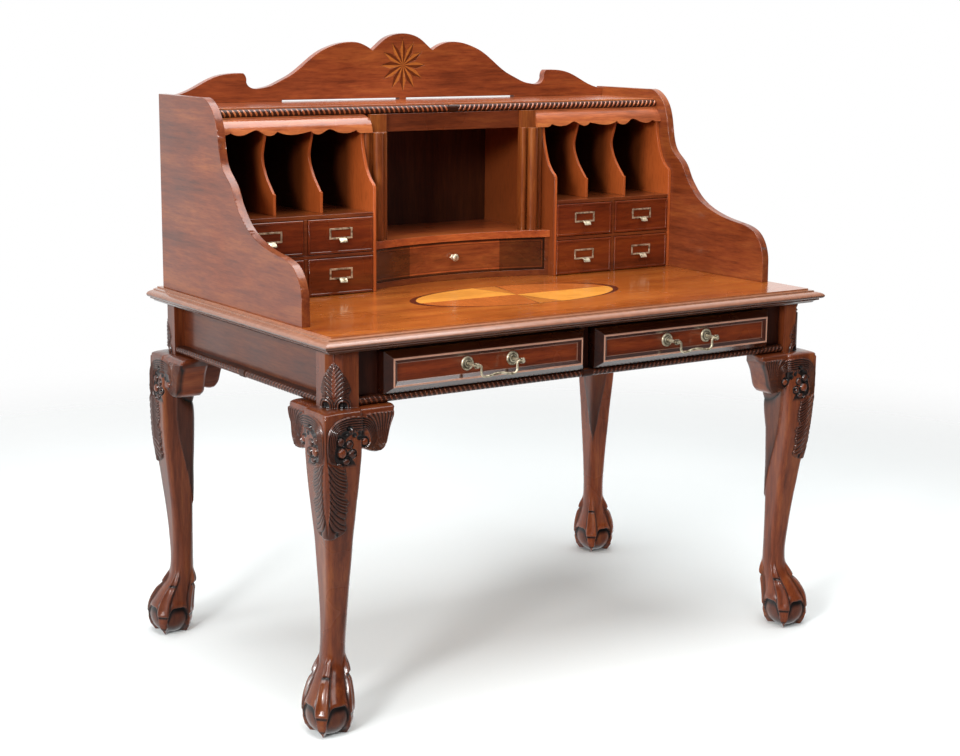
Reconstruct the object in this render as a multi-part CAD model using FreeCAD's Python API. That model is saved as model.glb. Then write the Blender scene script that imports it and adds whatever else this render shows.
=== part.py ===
import FreeCAD, Part
import math
import os
from FreeCAD import Vector

# Bonheur du jour: a writing table on four cabriole legs, with a gallery of
# drawers and pigeonholes standing on its top.  Millimetres, +Z up, front at -Y.
# Places along Y are written from the middle of the writing top.  TOP_SHIFT
# moves the finished piece so that the origin lies on the floor under the
# middle of its whole depth.
TOP_SHIFT = -7.4

# Running and seating clearances.
RUN_GAP = 0.3          # under a sliding drawer
SIDE_GAP = 0.8         # each side of a sliding drawer
FRONT_GAP = 1.0        # round a drawer front
PIN_GAP = 0.3          # round a bail's pin in its eye

# Writing top.
TOP_HALF_X = 623.7
TOP_HALF_Y = 389.0
TOP_Z = 770.0
TOP_THICK = 30.0
NOSE = 26.0            # how far the moulded edge stands out past the top's arris
FLOOR_Z = TOP_Z - TOP_THICK

# Oval panel let into the top.
OVAL_HALF_X = 256.0
OVAL_HALF_Y = 125.0
OVAL_Y = -106.0
INLAY_DEEP = 2.0

# Leg posts: square above the knee, the outer corner cut off.
POST = 58.0
POST_SIDE_IN = 29.7    # from the top's side edge in to the post
POST_FRONT_IN = 31.4   # from the top's front edge
POST_REAR_IN = 16.5    # from the top's rear edge
POST_OUT_X = TOP_HALF_X - POST_SIDE_IN
POST_FRONT_Y = POST_FRONT_IN - TOP_HALF_Y
POST_REAR_Y = TOP_HALF_Y - POST_REAR_IN
POST_CHAMFER = 24.6
POST_EASE = 1.0        # rounding of the post's other corners
POST_IN_X = POST_OUT_X - POST
APRON_HIGH = 107.0     # from the knees' top up to the underside of the top
KNEE_TOP_Z = FLOOR_Z - APRON_HIGH
KNEE_CAP = 8.0         # the knee slopes in to the post over this height
KNEE_EDGE_Z = KNEE_TOP_Z - KNEE_CAP

# Feet: a ball held by four claws.
FOOT_FRONT_IN = 22.6   # from the front post's face in to the foot's centre
FOOT_REAR_IN = 0.5     # from the rear post's face
FOOT_X = POST_OUT_X
FOOT_FRONT_Y = POST_FRONT_Y + FOOT_FRONT_IN
FOOT_REAR_Y = POST_REAR_Y - FOOT_REAR_IN
BALL_R = 43.5
BALL_Z = 41.5
CLAW_R = 50.0
CLAW_ARCH_R = 24.0     # round head of the opening between two claws
CLAW_ARCH_Z = 37.0
ANKLE_Z = 160.0
ANKLE_R = 24.6
ANKLE_IN = 30.0        # the ankle's axis lies this far inside the foot's centre
ROUND_FLAT = 0.6       # half of the small flat left where a section is all but round



def shaft_z(share):
    """Height at a share of the leg's shaft, from the ankle to the knee's edge."""
    return ANKLE_Z + share * (KNEE_EDGE_Z - ANKLE_Z)


# Leg sections from the knee down to the floor: height, how far the axis lies
# inside the foot's centre along the leg's diagonal, half width, how much of
# that half width is rounded at the corners, and the share of the front knee's
# lean that the section takes.
LEG_SECTIONS = (
    (KNEE_EDGE_Z, 12.0, 37.5, 9.0, 1.0),
    (shaft_z(0.925), 12.0, 37.5, 9.0, 1.0),
    (shaft_z(0.828), 12.0, 37.2, 9.0, 1.0),
    (shaft_z(0.731), 13.0, 36.4, 9.0, 1.0),
    (shaft_z(0.645), 14.6, 35.2, 10.0, 1.0),
    (shaft_z(0.559), 17.4, 32.6, 11.0, 0.95),
    (shaft_z(0.473), 20.8, 29.8, 12.0, 0.85),
    (shaft_z(0.387), 23.6, 27.8, 12.0, 0.75),
    (shaft_z(0.28), 26.6, 25.3, 13.0, 0.6),
    (shaft_z(0.15), 29.2, 23.8, 17.0, 0.45),
    (ANKLE_Z, ANKLE_IN, ANKLE_R, ANKLE_R - ROUND_FLAT, 0.15),
    (140.0, 28.8, 25.8, 25.8 - ROUND_FLAT, 0.08),
    (122.0, 24.5, 30.0, 30.0 - ROUND_FLAT, 0.03),
    (105.0, 17.0, 37.0, 37.0 - ROUND_FLAT, 0.0),
    (88.0, 9.5, 43.7, 43.7 - ROUND_FLAT, 0.0),
    (70.0, 4.0, 48.2, 48.2 - ROUND_FLAT, 0.0),
    (50.0, 1.0, CLAW_R, CLAW_R - ROUND_FLAT, 0.0),
    (32.0, 0.0, 49.5, 49.5 - ROUND_FLAT, 0.0),
    (14.0, 0.0, 44.5, 44.5 - ROUND_FLAT, 0.0),
    (0.0, 0.0, 36.0, 36.0 - ROUND_FLAT, 0.0),
)
FRONT_LEAN = 12.6      # the front knees stand this much further forward
FRONT_LEAN_IN = 3.3    # and this much further in from the side
REAR_KNEE_SLIM = 7.0   # the rear knees are this much narrower at their outer faces
SLIM_FROM_Z = shaft_z(0.473)
FRONT_KNEE_STOUT = 7.6  # and the front ones this much wider at their inner faces
STOUT_FROM_Z = shaft_z(0.634)
STOUT_Z = shaft_z(0.828)

# Knee ears: scrolled blocks glued beside each leg under the apron.
EAR_LONG = 70.0
EAR_REAR_LONG = 72.0
EAR_SIDE_LONG = 70.0
EAR_REAR_SIDE_LONG = 74.0
EAR_PROUD = 13.0       # how far an ear stands out past the face of the post
EAR_REAR_PROUD = 7.0
EAR_SIDE_PROUD = 20.5
EAR_BACK = 40.0        # and how far it reaches back behind that face
EAR_HIGH = 87.0
EAR_END = 21.0         # height of the ear's square end
EAR_TOE = 30.0         # length of the ear's foot before it rises to its end

# Apron and the front frame round the two wide drawers.
APRON_SIDE_IN = 22.5   # from the post's side face in to the apron's
APRON_BACK_IN = 12.5
STILE_IN = 17.6
APRON_SIDE_X = POST_OUT_X - APRON_SIDE_IN
APRON_BOARD = 20.0
APRON_BACK_Y = POST_REAR_Y - APRON_BACK_IN
STILE_Y = POST_FRONT_Y + STILE_IN
STILE_THICK = 20.0
STILE_CENTRE_HALF = 12.5
STILE_END_W = 51.5
STILE_END_X = POST_IN_X - STILE_END_W
RAIL_LOW = 17.0        # height of the rail under the wide drawers
RAIL_HIGH = 6.0        # and of the one above them
RAIL_LOW_Z = KNEE_TOP_Z + RAIL_LOW
RAIL_HIGH_Z = FLOOR_Z - RAIL_HIGH
ROPE_R = 7.5
ROPE_RISE = 9.0        # the rope's axis above the knees' top
ROPE_Z = KNEE_TOP_Z + ROPE_RISE
BOSS_HALF = 11.0
BOSS_PROUD = 1.5
RUNNER_W = 34.0
GUIDE_HIGH = 26.0
GUIDE_W = 14.0

# Wide drawers.
WIDE_PROUD = 19.0      # the square side of the front stands this far out of the frame
WIDE_RAISE = 16.0      # and its moulded border rises this much more
WIDE_SLOPE = 14.0      # width of that sloping border
WIDE_RIDGE = 2.0
FIELD_SLOPE = 8.0
FIELD_DEEP = 7.0
WIDE_BACK = 14.0       # the front reaches this far behind the frame's face
WIDE_BOX_LONG = 540.0
WIDE_BOX_HIGH = 66.0
WIDE_WALL = 10.0
WIDE_BOTTOM = 6.0

# Bail handles on the wide drawers.
BAIL_HALF = 53.0
HANDLE_RAISE = 2.0     # the eyes lie this far above the drawer's middle
HANDLE_Z = (RAIL_LOW_Z + RAIL_HIGH_Z) / 2 + HANDLE_RAISE
ROSETTE_R = 14.0
ROSETTE_HIGH = 5.0
NECK_R = 3.2
BAIL_OUT = 33.0
EYE_R = 5.6
EYE_HALF = 3.5
BAIL_R = 2.4
BAIL_ARM_X = 42.0
BAIL_BEND = 5.0
BAIL_DROP = 23.0
BAIL_CORNER = 9.0
BAIL_RISE = 4.0

# Gallery carcass.  It stands on the rear of the top, and its depths are
# written from its rear edge.
GALLERY_SIDE_IN = 20.5  # from the post's side face in to the gallery side's inner face
GALLERY_REAR_IN = 17.4  # from the top's rear edge
SIDE_IN_X = POST_OUT_X - GALLERY_SIDE_IN
SIDE_THICK = 18.0
GALLERY_HIGH = 410.5
GALLERY_TOP_Z = TOP_Z + GALLERY_HIGH
GALLERY_REAR_Y = TOP_HALF_Y - GALLERY_REAR_IN
BACK_DEEP = 14.6
BACK_FRONT_Y = GALLERY_REAR_Y - BACK_DEEP
BACK_THICK = 10.5
GALLERY_DEEP = 614.1   # of the sides where they stand on the top
SHELF_DROP = 40.0      # the shelf's underside below the top of the sides
SHELF_RISE = GALLERY_HIGH - SHELF_DROP
SHELF_BOTTOM = TOP_Z + SHELF_RISE
SHELF_THICK = 19.5
SHELF_DEEP = 220.6
SHELF_FRONT_Y = GALLERY_REAR_Y - SHELF_DEEP
SHELF_TOP = SHELF_BOTTOM + SHELF_THICK
SHELF_ROPE_R = 8.0
CREST_DEEP = 22.1
CREST_FRONT_Y = GALLERY_REAR_Y - CREST_DEEP
CREST_THICK = 18.0
CREST_END_RISE = 16.0
CREST_SLIT_HALF = 310.0
CREST_SLIT = 3.0
PEG_HALF = 9.0
STAR_R = 58.0          # tips of the rays
STAR_WIDE_R = 36.0     # where a ray is widest
STAR_RAY_ANGLE = 11.5  # half of a ray's width there, in degrees
STAR_HUB_R = 13.0      # where the rays part
STAR_RISE = 76.0       # the star's centre above the shelf
STAR_Z = SHELF_TOP + STAR_RISE
STAR_RAYS = 12

# Banks of small drawers with pigeonholes above, one at each side.
PARTITION_IN_X = 233.0
PARTITION_THICK = 8.0
LINER_THICK = 8.0
BANK_IN_X = PARTITION_IN_X + PARTITION_THICK
BANK_OUT_X = SIDE_IN_X - LINER_THICK
BANK_DEEP = 291.6
BANK_FRONT_Y = GALLERY_REAR_Y - BANK_DEEP
HOLE_HIGH = 200.5      # clear height of the pigeonholes
BANK_SHELF_RISE = SHELF_RISE - HOLE_HIGH
BANK_SHELF_TOP = TOP_Z + BANK_SHELF_RISE
BANK_SHELF = 8.0
MID_BOARD_LIFT = 2.0   # its top above the middle of the drawers' height
MID_BOARD_RISE = BANK_SHELF_RISE / 2 + MID_BOARD_LIFT
MID_BOARD_TOP = TOP_Z + MID_BOARD_RISE
MID_BOARD = 7.0
CELL_POST = 8.0
HOLE_DIVIDER = 6.0
HOLES = 3
SMALL_LONG = 250.0
SMALL_FRONT = 14.0
SMALL_WALL = 6.0
SMALL_BOTTOM = 4.0
SMALL_LIP = 5.0
SMALL_LIP_DEEP = 1.5
SMALL_DROP = 8.0       # the box's rim lies this far below the top of its front

# Label-frame pulls on the small drawers.
PULL_W = 55.0
PULL_H = 23.0
PULL_RIM = 3.5
PULL_THICK = 1.6
PULL_RAISE = 5.0       # the pull's middle lies this far above the drawer's
TONGUE_W = 17.0
TONGUE_OUT = 13.0
TONGUE_DROP = 6.0
TONGUE_THICK = 2.2

# Valances over the pigeonholes, and the frieze and columns of the centre bay.
VALANCE_END_X = 216.0
VALANCE_CORNER = 13.0
FRIEZE_HIGH = 38.0
FRIEZE_BOTTOM = SHELF_BOTTOM - FRIEZE_HIGH
FRIEZE_OUT = 10.0      # in front of the shelf's front edge
FRIEZE_FRONT_Y = SHELF_FRONT_Y - FRIEZE_OUT
FRIEZE_THICK = 16.0
COLUMN_FLAT_OUT = 19.0
COLUMN_FLAT_Y = SHELF_FRONT_Y - COLUMN_FLAT_OUT
COLUMN_BACK = 12.0
COLUMN_IN_X = 176.0
COLUMN_X = 202.5
COLUMN_R = 11.5
COLUMN_OUT = 8.5       # the shaft's axis in front of the flat
COLUMN_Y = COLUMN_FLAT_Y - COLUMN_OUT
REED_R = 6.5

# Concave centre bay.
BAY_ARC_R = 673.0
BAY_DEEP = 236.1       # from the gallery's rear to the arc's middle
BAY_ARC_Y = GALLERY_REAR_Y - BAY_DEEP - BAY_ARC_R
BASE_BOARD = 13.5
BASE_TOP = TOP_Z + BASE_BOARD
CENTRE_SHELF_RISE = 103.0
CENTRE_SHELF_TOP = TOP_Z + CENTRE_SHELF_RISE
CENTRE_SHELF = 16.0
BAY_SET_BACK = 5.0     # the base and the drawer stand behind the shelf's edge
CHEEK = 8.0
CENTRE_FRONT = 16.0
CENTRE_REAR_GAP = 22.0
CENTRE_BACK_Y = BACK_FRONT_Y - CENTRE_REAR_GAP
KNOB_R = 8.5
KNOB_NECK_R = 4.0
KNOB_OUT = 17.0
KNOB_RISE = 51.5       # above the writing top
KNOB_Z = TOP_Z + KNOB_RISE


def box(x0, x1, y0, y1, z0, z1):
    return Part.makeBox(x1 - x0, y1 - y0, z1 - z0, Vector(x0, y0, z0))


def mirror_x(shape):
    return shape.mirror(Vector(0, 0, 0), Vector(1, 0, 0))


def both(shape):
    """A piece on the +X side together with its mirror image."""
    return [shape, mirror_x(shape)]


def fuse(shapes):
    return shapes[0].multiFuse(shapes[1:]).removeSplitter()


PLANES = {
    "XY": (lambda a, b: Vector(a, b, 0), Vector(0, 0, 1)),
    "XZ": (lambda a, b: Vector(a, 0, b), Vector(0, 1, 0)),
    "YZ": (lambda a, b: Vector(0, a, b), Vector(1, 0, 0)),
}


def outline(plane, runs):
    """Closed outline in a coordinate plane.

    Each run goes on from the last point of the one before: a run of one
    point is a straight side and a longer run is one smooth curve."""
    at = PLANES[plane][0]
    start = at(*runs[0][0])
    here = start
    edges = []
    for run in runs[1:]:
        points = [here] + [at(*point) for point in run]
        if len(points) == 2:
            edges.append(Part.makeLine(*points))
        else:
            curve = Part.BSplineCurve()
            curve.interpolate(points)
            edges.append(curve.toShape())
        here = points[-1]
    edges.append(Part.makeLine(here, start))
    return Part.Wire(edges)


def board(plane, runs, start, thick):
    """Board cut to an outline, from `start` along the plane's normal."""
    along = PLANES[plane][1]
    face = Part.Face(outline(plane, runs))
    face.translate(along * start)
    return face.extrude(along * thick)


def ring(cx, cy, z, half, radius):
    """Rounded square in a level plane, as a wire of eight edges."""
    flat = half - radius
    bend = flat + radius / math.sqrt(2)
    edges = []
    for turn in range(4):
        out = Vector(math.cos(math.pi / 2 * turn), math.sin(math.pi / 2 * turn), 0)
        across = Vector(-out.y, out.x, 0)
        centre = Vector(cx, cy, z)
        first = centre + out * half - across * flat
        second = centre + out * half + across * flat
        middle = centre + out * bend + across * bend
        third = centre + out * flat + across * half
        edges.append(Part.makeLine(first, second))
        edges.append(Part.Arc(second, middle, third).toShape())
    return Part.Wire(edges)


def rectangle(x0, x1, y, z0, z1):
    corners = [Vector(x0, y, z0), Vector(x1, y, z0), Vector(x1, y, z1), Vector(x0, y, z1)]
    return Part.makePolygon(corners + corners[:1])


def arc_band(near, far, half, z0, z1):
    """Board between two arcs about the centre bay's axis, cut straight at both ends."""
    axis = Vector(0, BAY_ARC_Y, z0)
    outer = Part.makeCylinder(BAY_ARC_R + far, z1 - z0, axis)
    inner = Part.makeCylinder(BAY_ARC_R + near, z1 - z0, axis)
    return outer.cut(inner).common(box(-half, half, 0, BACK_FRONT_Y, z0, z1))


# ---------------------------------------------------------------- table top
def writing_top():
    """Slab with an ovolo-and-cove edge on the front and both sides, mitred at the corners."""
    arris_x = TOP_HALF_X - NOSE
    arris_y = TOP_HALF_Y - NOSE
    inner = -NOSE
    edge = [
        [(inner, -TOP_THICK)], [(inner, 0)], [(0, 0)], [(0, -2.5)], [(4, -3)], [(9, -4)],
        [(9, -6)], [(16, -7.5), (23, -10.5), (NOSE, -14)], [(24.5, -18), (20, -20.5)],
        [(16, -21)], [(17.5, -22.5), (16.5, -24.3)], [(11, -26), (7, -TOP_THICK)],
    ]
    front = board("YZ", [[(-u - arris_y, v + TOP_Z) for u, v in run] for run in edge],
                  -TOP_HALF_X, 2 * TOP_HALF_X)
    side = board("XZ", [[(u + arris_x, v + TOP_Z) for u, v in run] for run in edge],
                 -TOP_HALF_Y, 2 * TOP_HALF_Y)
    reach = NOSE * 3
    corner = [
        (arris_x - reach, -arris_y + reach), (arris_x + reach, -arris_y - reach),
        (arris_x + reach, TOP_HALF_Y + reach), (arris_x - reach, TOP_HALF_Y + reach),
    ]
    mitre = board("XY", [[point] for point in corner], FLOOR_Z, TOP_THICK)
    side = side.common(mitre)
    front = front.cut(mitre).cut(mirror_x(mitre))
    field = box(NOSE - arris_x, arris_x - NOSE, NOSE - arris_y, TOP_HALF_Y, FLOOR_Z, TOP_Z)
    return fuse([field, front] + both(side)).cut(oval())


def oval():
    """Oval panel of the top."""
    ellipse = Part.Ellipse(Vector(0, OVAL_Y, TOP_Z - INLAY_DEEP), OVAL_HALF_X, OVAL_HALF_Y)
    return Part.Face(Part.Wire(ellipse.toShape())).extrude(Vector(0, 0, INLAY_DEEP))


# ---------------------------------------------------------------- legs
def leg(side, end):
    """Leg at the +X or -X side and the front (-1) or rear (+1) end."""
    foot_y = FOOT_FRONT_Y if end < 0 else FOOT_REAR_Y
    post_y = POST_FRONT_Y if end < 0 else POST_REAR_Y
    diagonal = Vector(side, end, 0) / math.sqrt(2)
    foot = Vector(side * FOOT_X, foot_y, 0)
    lean = Vector(-side * FRONT_LEAN_IN, -FRONT_LEAN, 0) if end < 0 else Vector(0, 0, 0)

    def leg_ring(z, inset, half, radius, share):
        stout = FRONT_KNEE_STOUT * min(1.0, max(0.0, (z - STOUT_FROM_Z) / (STOUT_Z - STOUT_FROM_Z)))
        slim = REAR_KNEE_SLIM * max(0.0, (z - SLIM_FROM_Z) / (KNEE_EDGE_Z - SLIM_FROM_Z))
        change = stout / 2 if end < 0 else -slim / 2
        centre = foot - diagonal * (inset + abs(change) * math.sqrt(2)) + lean * share
        return ring(centre.x, centre.y, z, half + change, radius)

    shaft = Part.makeLoft([leg_ring(*section) for section in LEG_SECTIONS], True, False)

    post_x = side * (POST_OUT_X - POST / 2)
    post_mid = post_y - end * POST / 2
    square = ring(post_x, post_mid, KNEE_TOP_Z, POST / 2, POST_EASE)
    cap = Part.makeLoft([leg_ring(*LEG_SECTIONS[0]), square], True, True)
    post = Part.Face(square).extrude(Vector(0, 0, FLOOR_Z - KNEE_TOP_Z))
    out_x = side * POST_OUT_X
    corner = [(out_x, post_y), (out_x - side * POST_CHAMFER, post_y),
              (out_x, post_y - end * POST_CHAMFER)]
    post = post.cut(board("XY", [[point] for point in corner], KNEE_TOP_Z, FLOOR_Z - KNEE_TOP_Z))

    arches = []
    for along, across in ((Vector(1, 0, 0), Vector(0, 1, 0)), (Vector(0, 1, 0), Vector(1, 0, 0))):
        start = Vector(foot.x, foot.y, CLAW_ARCH_Z) - along * 2 * CLAW_R
        arches.append(Part.makeCylinder(CLAW_ARCH_R, 4 * CLAW_R, start, along))
        reach = along * 2 * CLAW_R + across * CLAW_ARCH_R
        arches.append(box(foot.x - reach.x, foot.x + reach.x, foot.y - reach.y, foot.y + reach.y,
                          -CLAW_ARCH_R, CLAW_ARCH_Z))
    ball = Part.makeSphere(BALL_R, Vector(foot.x, foot.y, BALL_Z))
    shaft = shaft.cut(fuse(arches).cut(ball))
    return fuse([shaft, cap, post])


def ear(plane, start, out, length, face, proud, facing):
    """Ear that runs from `start` in the direction `out`, its face turned to `facing`."""
    low = KNEE_TOP_Z - EAR_HIGH
    end = start + out * length
    toe = end - out * EAR_TOE
    inside = start - out * POST / 2
    rise = EAR_HIGH - EAR_END
    runs = [
        [(inside, KNEE_TOP_Z)], [(end, KNEE_TOP_Z)], [(end, KNEE_TOP_Z - EAR_END + 3)],
        [(end - out * 7, low + rise * 0.84), (end - out * 12, low + rise * 0.65),
         (end - out * 16, low + rise * 0.42), (end - out * 19.5, low + rise * 0.20),
         (end - out * 26, low + rise * 0.05), (toe - out * 6, low)],
        [(toe - out * 22, low + 2.5), (toe - out * 36, low + 8)],
        [(inside, low + 10)],
    ]
    thick = proud + EAR_BACK
    body = board(plane, runs, min(face, face - facing * thick), thick)
    shoulder = face - facing * (proud + POST_EASE)
    section = [[(face, KNEE_EDGE_Z)], [(shoulder, KNEE_TOP_Z)], [(face, KNEE_TOP_Z)]]
    across = "YZ" if plane == "XZ" else "XZ"
    return body.cut(board(across, section, -TOP_HALF_X, 2 * TOP_HALF_X))


def ears(side, end, leg_shape):
    """The two ears of a leg: one along the front or back, one along the side."""
    post_y = POST_FRONT_Y if end < 0 else POST_REAR_Y
    long, proud = (EAR_LONG, EAR_PROUD) if end < 0 else (EAR_REAR_LONG, EAR_REAR_PROUD)
    side_long = EAR_SIDE_LONG if end < 0 else EAR_REAR_SIDE_LONG
    across = ear("XZ", side * POST_IN_X, -side, long, post_y + end * proud, proud, end)
    along = ear("YZ", post_y - end * POST, -end, side_long,
                side * (POST_OUT_X + EAR_SIDE_PROUD), EAR_SIDE_PROUD, side)
    across = across.cut(leg_shape)
    along = along.cut(leg_shape).cut(across)
    return [max(piece.Solids, key=lambda solid: solid.Volume) for piece in (across, along)]


# ---------------------------------------------------------------- apron
def apron_side(side):
    x = side * (APRON_SIDE_X - APRON_BOARD / 2)
    half = APRON_BOARD / 2
    return box(x - half, x + half, POST_FRONT_Y + POST, POST_REAR_Y - POST, KNEE_TOP_Z, FLOOR_Z)


def apron_back():
    return box(-POST_IN_X, POST_IN_X, APRON_BACK_Y - APRON_BOARD, APRON_BACK_Y, KNEE_TOP_Z, FLOOR_Z)


def front_frame():
    """Rails above and below the wide drawers, with a stile at each end and between them."""
    back = STILE_Y + STILE_THICK
    pieces = [
        box(-POST_IN_X, POST_IN_X, STILE_Y, back, KNEE_TOP_Z, RAIL_LOW_Z),
        box(-POST_IN_X, POST_IN_X, STILE_Y, back, RAIL_HIGH_Z, FLOOR_Z),
        box(-STILE_CENTRE_HALF, STILE_CENTRE_HALF, STILE_Y, back, RAIL_LOW_Z, RAIL_HIGH_Z),
    ]
    pieces += both(box(STILE_END_X, POST_IN_X, STILE_Y, back, RAIL_LOW_Z, RAIL_HIGH_Z))
    return Part.makeCompound(pieces)


def drawer_runners():
    """Runners under the edges of the wide drawers, with guides beside them."""
    y0 = STILE_Y + STILE_THICK
    y1 = APRON_BACK_Y - APRON_BOARD
    top = RAIL_LOW_Z + GUIDE_HIGH
    middle = fuse([
        box(-RUNNER_W, RUNNER_W, y0, y1, KNEE_TOP_Z, RAIL_LOW_Z),
        box(-STILE_CENTRE_HALF, STILE_CENTRE_HALF, y0, y1, RAIL_LOW_Z, top),
    ])
    end = fuse([
        box(STILE_END_X - RUNNER_W / 2, STILE_END_X + GUIDE_W, y0, y1, KNEE_TOP_Z, RAIL_LOW_Z),
        box(STILE_END_X, STILE_END_X + GUIDE_W, y0, y1, RAIL_LOW_Z, top),
    ])
    return Part.makeCompound([middle] + both(end))


def rope_bar(length, back, radius):
    """Rod moulding along X on a flat backing that reaches `back` behind its axis, at the origin."""
    rod = Part.makeCylinder(radius, length, Vector(-length / 2, 0, 0), Vector(1, 0, 0))
    backing = box(-length / 2, length / 2, 0, back, -radius, radius)
    half = BOSS_HALF
    boss = Part.makeCylinder(radius + BOSS_PROUD, 2 * half, Vector(-half, 0, 0), Vector(1, 0, 0))
    boss = boss.common(box(-half, half, -radius - BOSS_PROUD, back, -radius, radius))
    front = box(-length / 2, length / 2, -radius, 0, -radius, radius)
    return fuse([rod.common(front), backing, boss])


def apron_rope():
    """Rope moulding along the bottom of the apron, flush with the leg posts."""
    out = ROPE_R + BOSS_PROUD
    front_y = POST_FRONT_Y + out
    front = rope_bar(2 * POST_IN_X, STILE_Y - front_y, ROPE_R)
    front.translate(Vector(0, front_y, ROPE_Z))
    rear = POST_REAR_Y - POST
    near = POST_FRONT_Y + POST
    side_x = POST_OUT_X - out
    right = rope_bar(rear - near, side_x - APRON_SIDE_X, ROPE_R)
    right.rotate(Vector(0, 0, 0), Vector(0, 0, 1), 90)
    right.translate(Vector(side_x, (rear + near) / 2, ROPE_Z))
    return Part.makeCompound([front] + both(right))


# ---------------------------------------------------------------- wide drawers
def wide_limits():
    """Left and right edge of the right-hand wide drawer's front."""
    return STILE_CENTRE_HALF + FRONT_GAP, STILE_END_X - FRONT_GAP


def wide_front():
    """Drawer front with a moulded border and a sunk field."""
    x0, x1 = wide_limits()
    z0, z1 = RAIL_LOW_Z + FRONT_GAP, RAIL_HIGH_Z - FRONT_GAP
    face = STILE_Y - WIDE_PROUD
    ridge = face - WIDE_RAISE
    body = box(x0, x1, face, STILE_Y + WIDE_BACK, z0, z1)
    inset = WIDE_SLOPE
    border = Part.makeLoft([
        rectangle(x0, x1, face, z0, z1),
        rectangle(x0 + inset, x1 - inset, ridge, z0 + inset, z1 - inset),
    ], True, True)
    edge = inset + WIDE_RIDGE
    deep = edge + FIELD_SLOPE
    field = Part.makeLoft([
        rectangle(x0 + edge, x1 - edge, ridge, z0 + edge, z1 - edge),
        rectangle(x0 + deep, x1 - deep, ridge + FIELD_DEEP, z0 + deep, z1 - deep),
    ], True, True)
    return fuse([body, border]).cut(field)


def tray(x0, x1, y0, y1, z0, z1, wall, bottom):
    """Open drawer box: sides, back and bottom, closed at the front by a thin inner wall."""
    inside = box(x0 + wall, x1 - wall, y0 + wall, y1 - wall, z0 + bottom, z1 + wall)
    return box(x0, x1, y0, y1, z0, z1).cut(inside)


def wide_box():
    y0 = STILE_Y + WIDE_BACK
    x0, x1 = STILE_CENTRE_HALF + SIDE_GAP, STILE_END_X - SIDE_GAP
    z0 = RAIL_LOW_Z + RUN_GAP
    return tray(x0, x1, y0, y0 + WIDE_BOX_LONG, z0, z0 + WIDE_BOX_HIGH, WIDE_WALL, WIDE_BOTTOM)


def field_y():
    """Face of the sunk field of a wide drawer."""
    return STILE_Y - WIDE_PROUD - WIDE_RAISE + FIELD_DEEP


def handle_centre():
    x0, x1 = wide_limits()
    return Vector((x0 + x1) / 2, field_y() - BAIL_OUT, HANDLE_Z)


def handle_posts():
    """Two turned rosettes, each with a neck that ends in an eye for the bail."""
    pieces = []
    centre = handle_centre()
    pin = BAIL_R + PIN_GAP
    for offset in (-BAIL_HALF, BAIL_HALF):
        foot = Vector(centre.x + offset, field_y(), centre.z)
        eye = Vector(centre.x + offset - EYE_HALF, centre.y, centre.z)
        profile = [
            [(0, 0)], [(ROSETTE_R, 0)], [(ROSETTE_R, 1.6)],
            [(ROSETTE_R * 0.86, ROSETTE_HIGH * 0.62), (ROSETTE_R * 0.7, ROSETTE_HIGH * 0.42)],
            [(ROSETTE_R * 0.45, ROSETTE_HIGH * 0.9), (NECK_R, ROSETTE_HIGH)],
            [(NECK_R, BAIL_OUT - EYE_R * 0.6)], [(0, BAIL_OUT - EYE_R * 0.6)],
        ]
        turned = Part.Face(outline("XY", [[(u, -v) for u, v in run] for run in profile]))
        turned = turned.revolve(Vector(0, 0, 0), Vector(0, 1, 0), 360)
        turned.translate(foot)
        knuckle = Part.makeCylinder(EYE_R, 2 * EYE_HALF, eye, Vector(1, 0, 0))
        bore = Part.makeCylinder(pin, 4 * EYE_HALF, eye - Vector(EYE_HALF, 0, 0), Vector(1, 0, 0))
        pieces.append(fuse([turned, knuckle]).cut(bore))
    return Part.makeCompound(pieces)


def bail():
    """Drop handle: a bent rod whose ends turn outwards through the eyes."""
    centre = handle_centre()
    tip = BAIL_HALF + EYE_HALF + 1.5
    arm, bend, low, corner = BAIL_ARM_X, BAIL_BEND, -BAIL_DROP, BAIL_CORNER
    shoulder = bend * (1 - math.sqrt(0.5))
    turn = corner * (1 - math.sqrt(0.5))
    foot = arm - corner
    rise = BAIL_RISE
    radius = (foot * foot / 4 + rise * rise / 4) / rise
    quarter = math.asin(foot / 2 / radius) / 2
    sway = radius * math.sin(quarter)
    lift = radius * (1 - math.cos(quarter))

    def at(u, v):
        return Vector(centre.x + u, centre.y, centre.z + v)

    half = [
        ("line", (tip, 0), (arm + bend, 0)),
        ("arc", (arm + bend, 0), (arm + shoulder, -shoulder), (arm, -bend)),
        ("line", (arm, -bend), (arm, low + corner)),
        ("arc", (arm, low + corner), (arm - turn, low + turn), (foot, low)),
        ("arc", (foot, low), (foot - sway, low + lift), (foot / 2, low + rise / 2)),
        ("arc", (foot / 2, low + rise / 2), (sway, low + rise - lift), (0, low + rise)),
    ]
    other = [(kind,) + tuple((-u, v) for u, v in reversed(points))
             for kind, *points in reversed(half)]
    edges = []
    for kind, *points in half + other:
        corners = [at(*point) for point in points]
        if kind == "line":
            edges.append(Part.makeLine(*corners))
        else:
            edges.append(Part.Arc(*corners).toShape())
    path = Part.Wire(edges)
    section = Part.Wire(Part.makeCircle(BAIL_R, at(tip, 0), Vector(1, 0, 0)))
    return path.makePipeShell([section], True, True)


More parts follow.
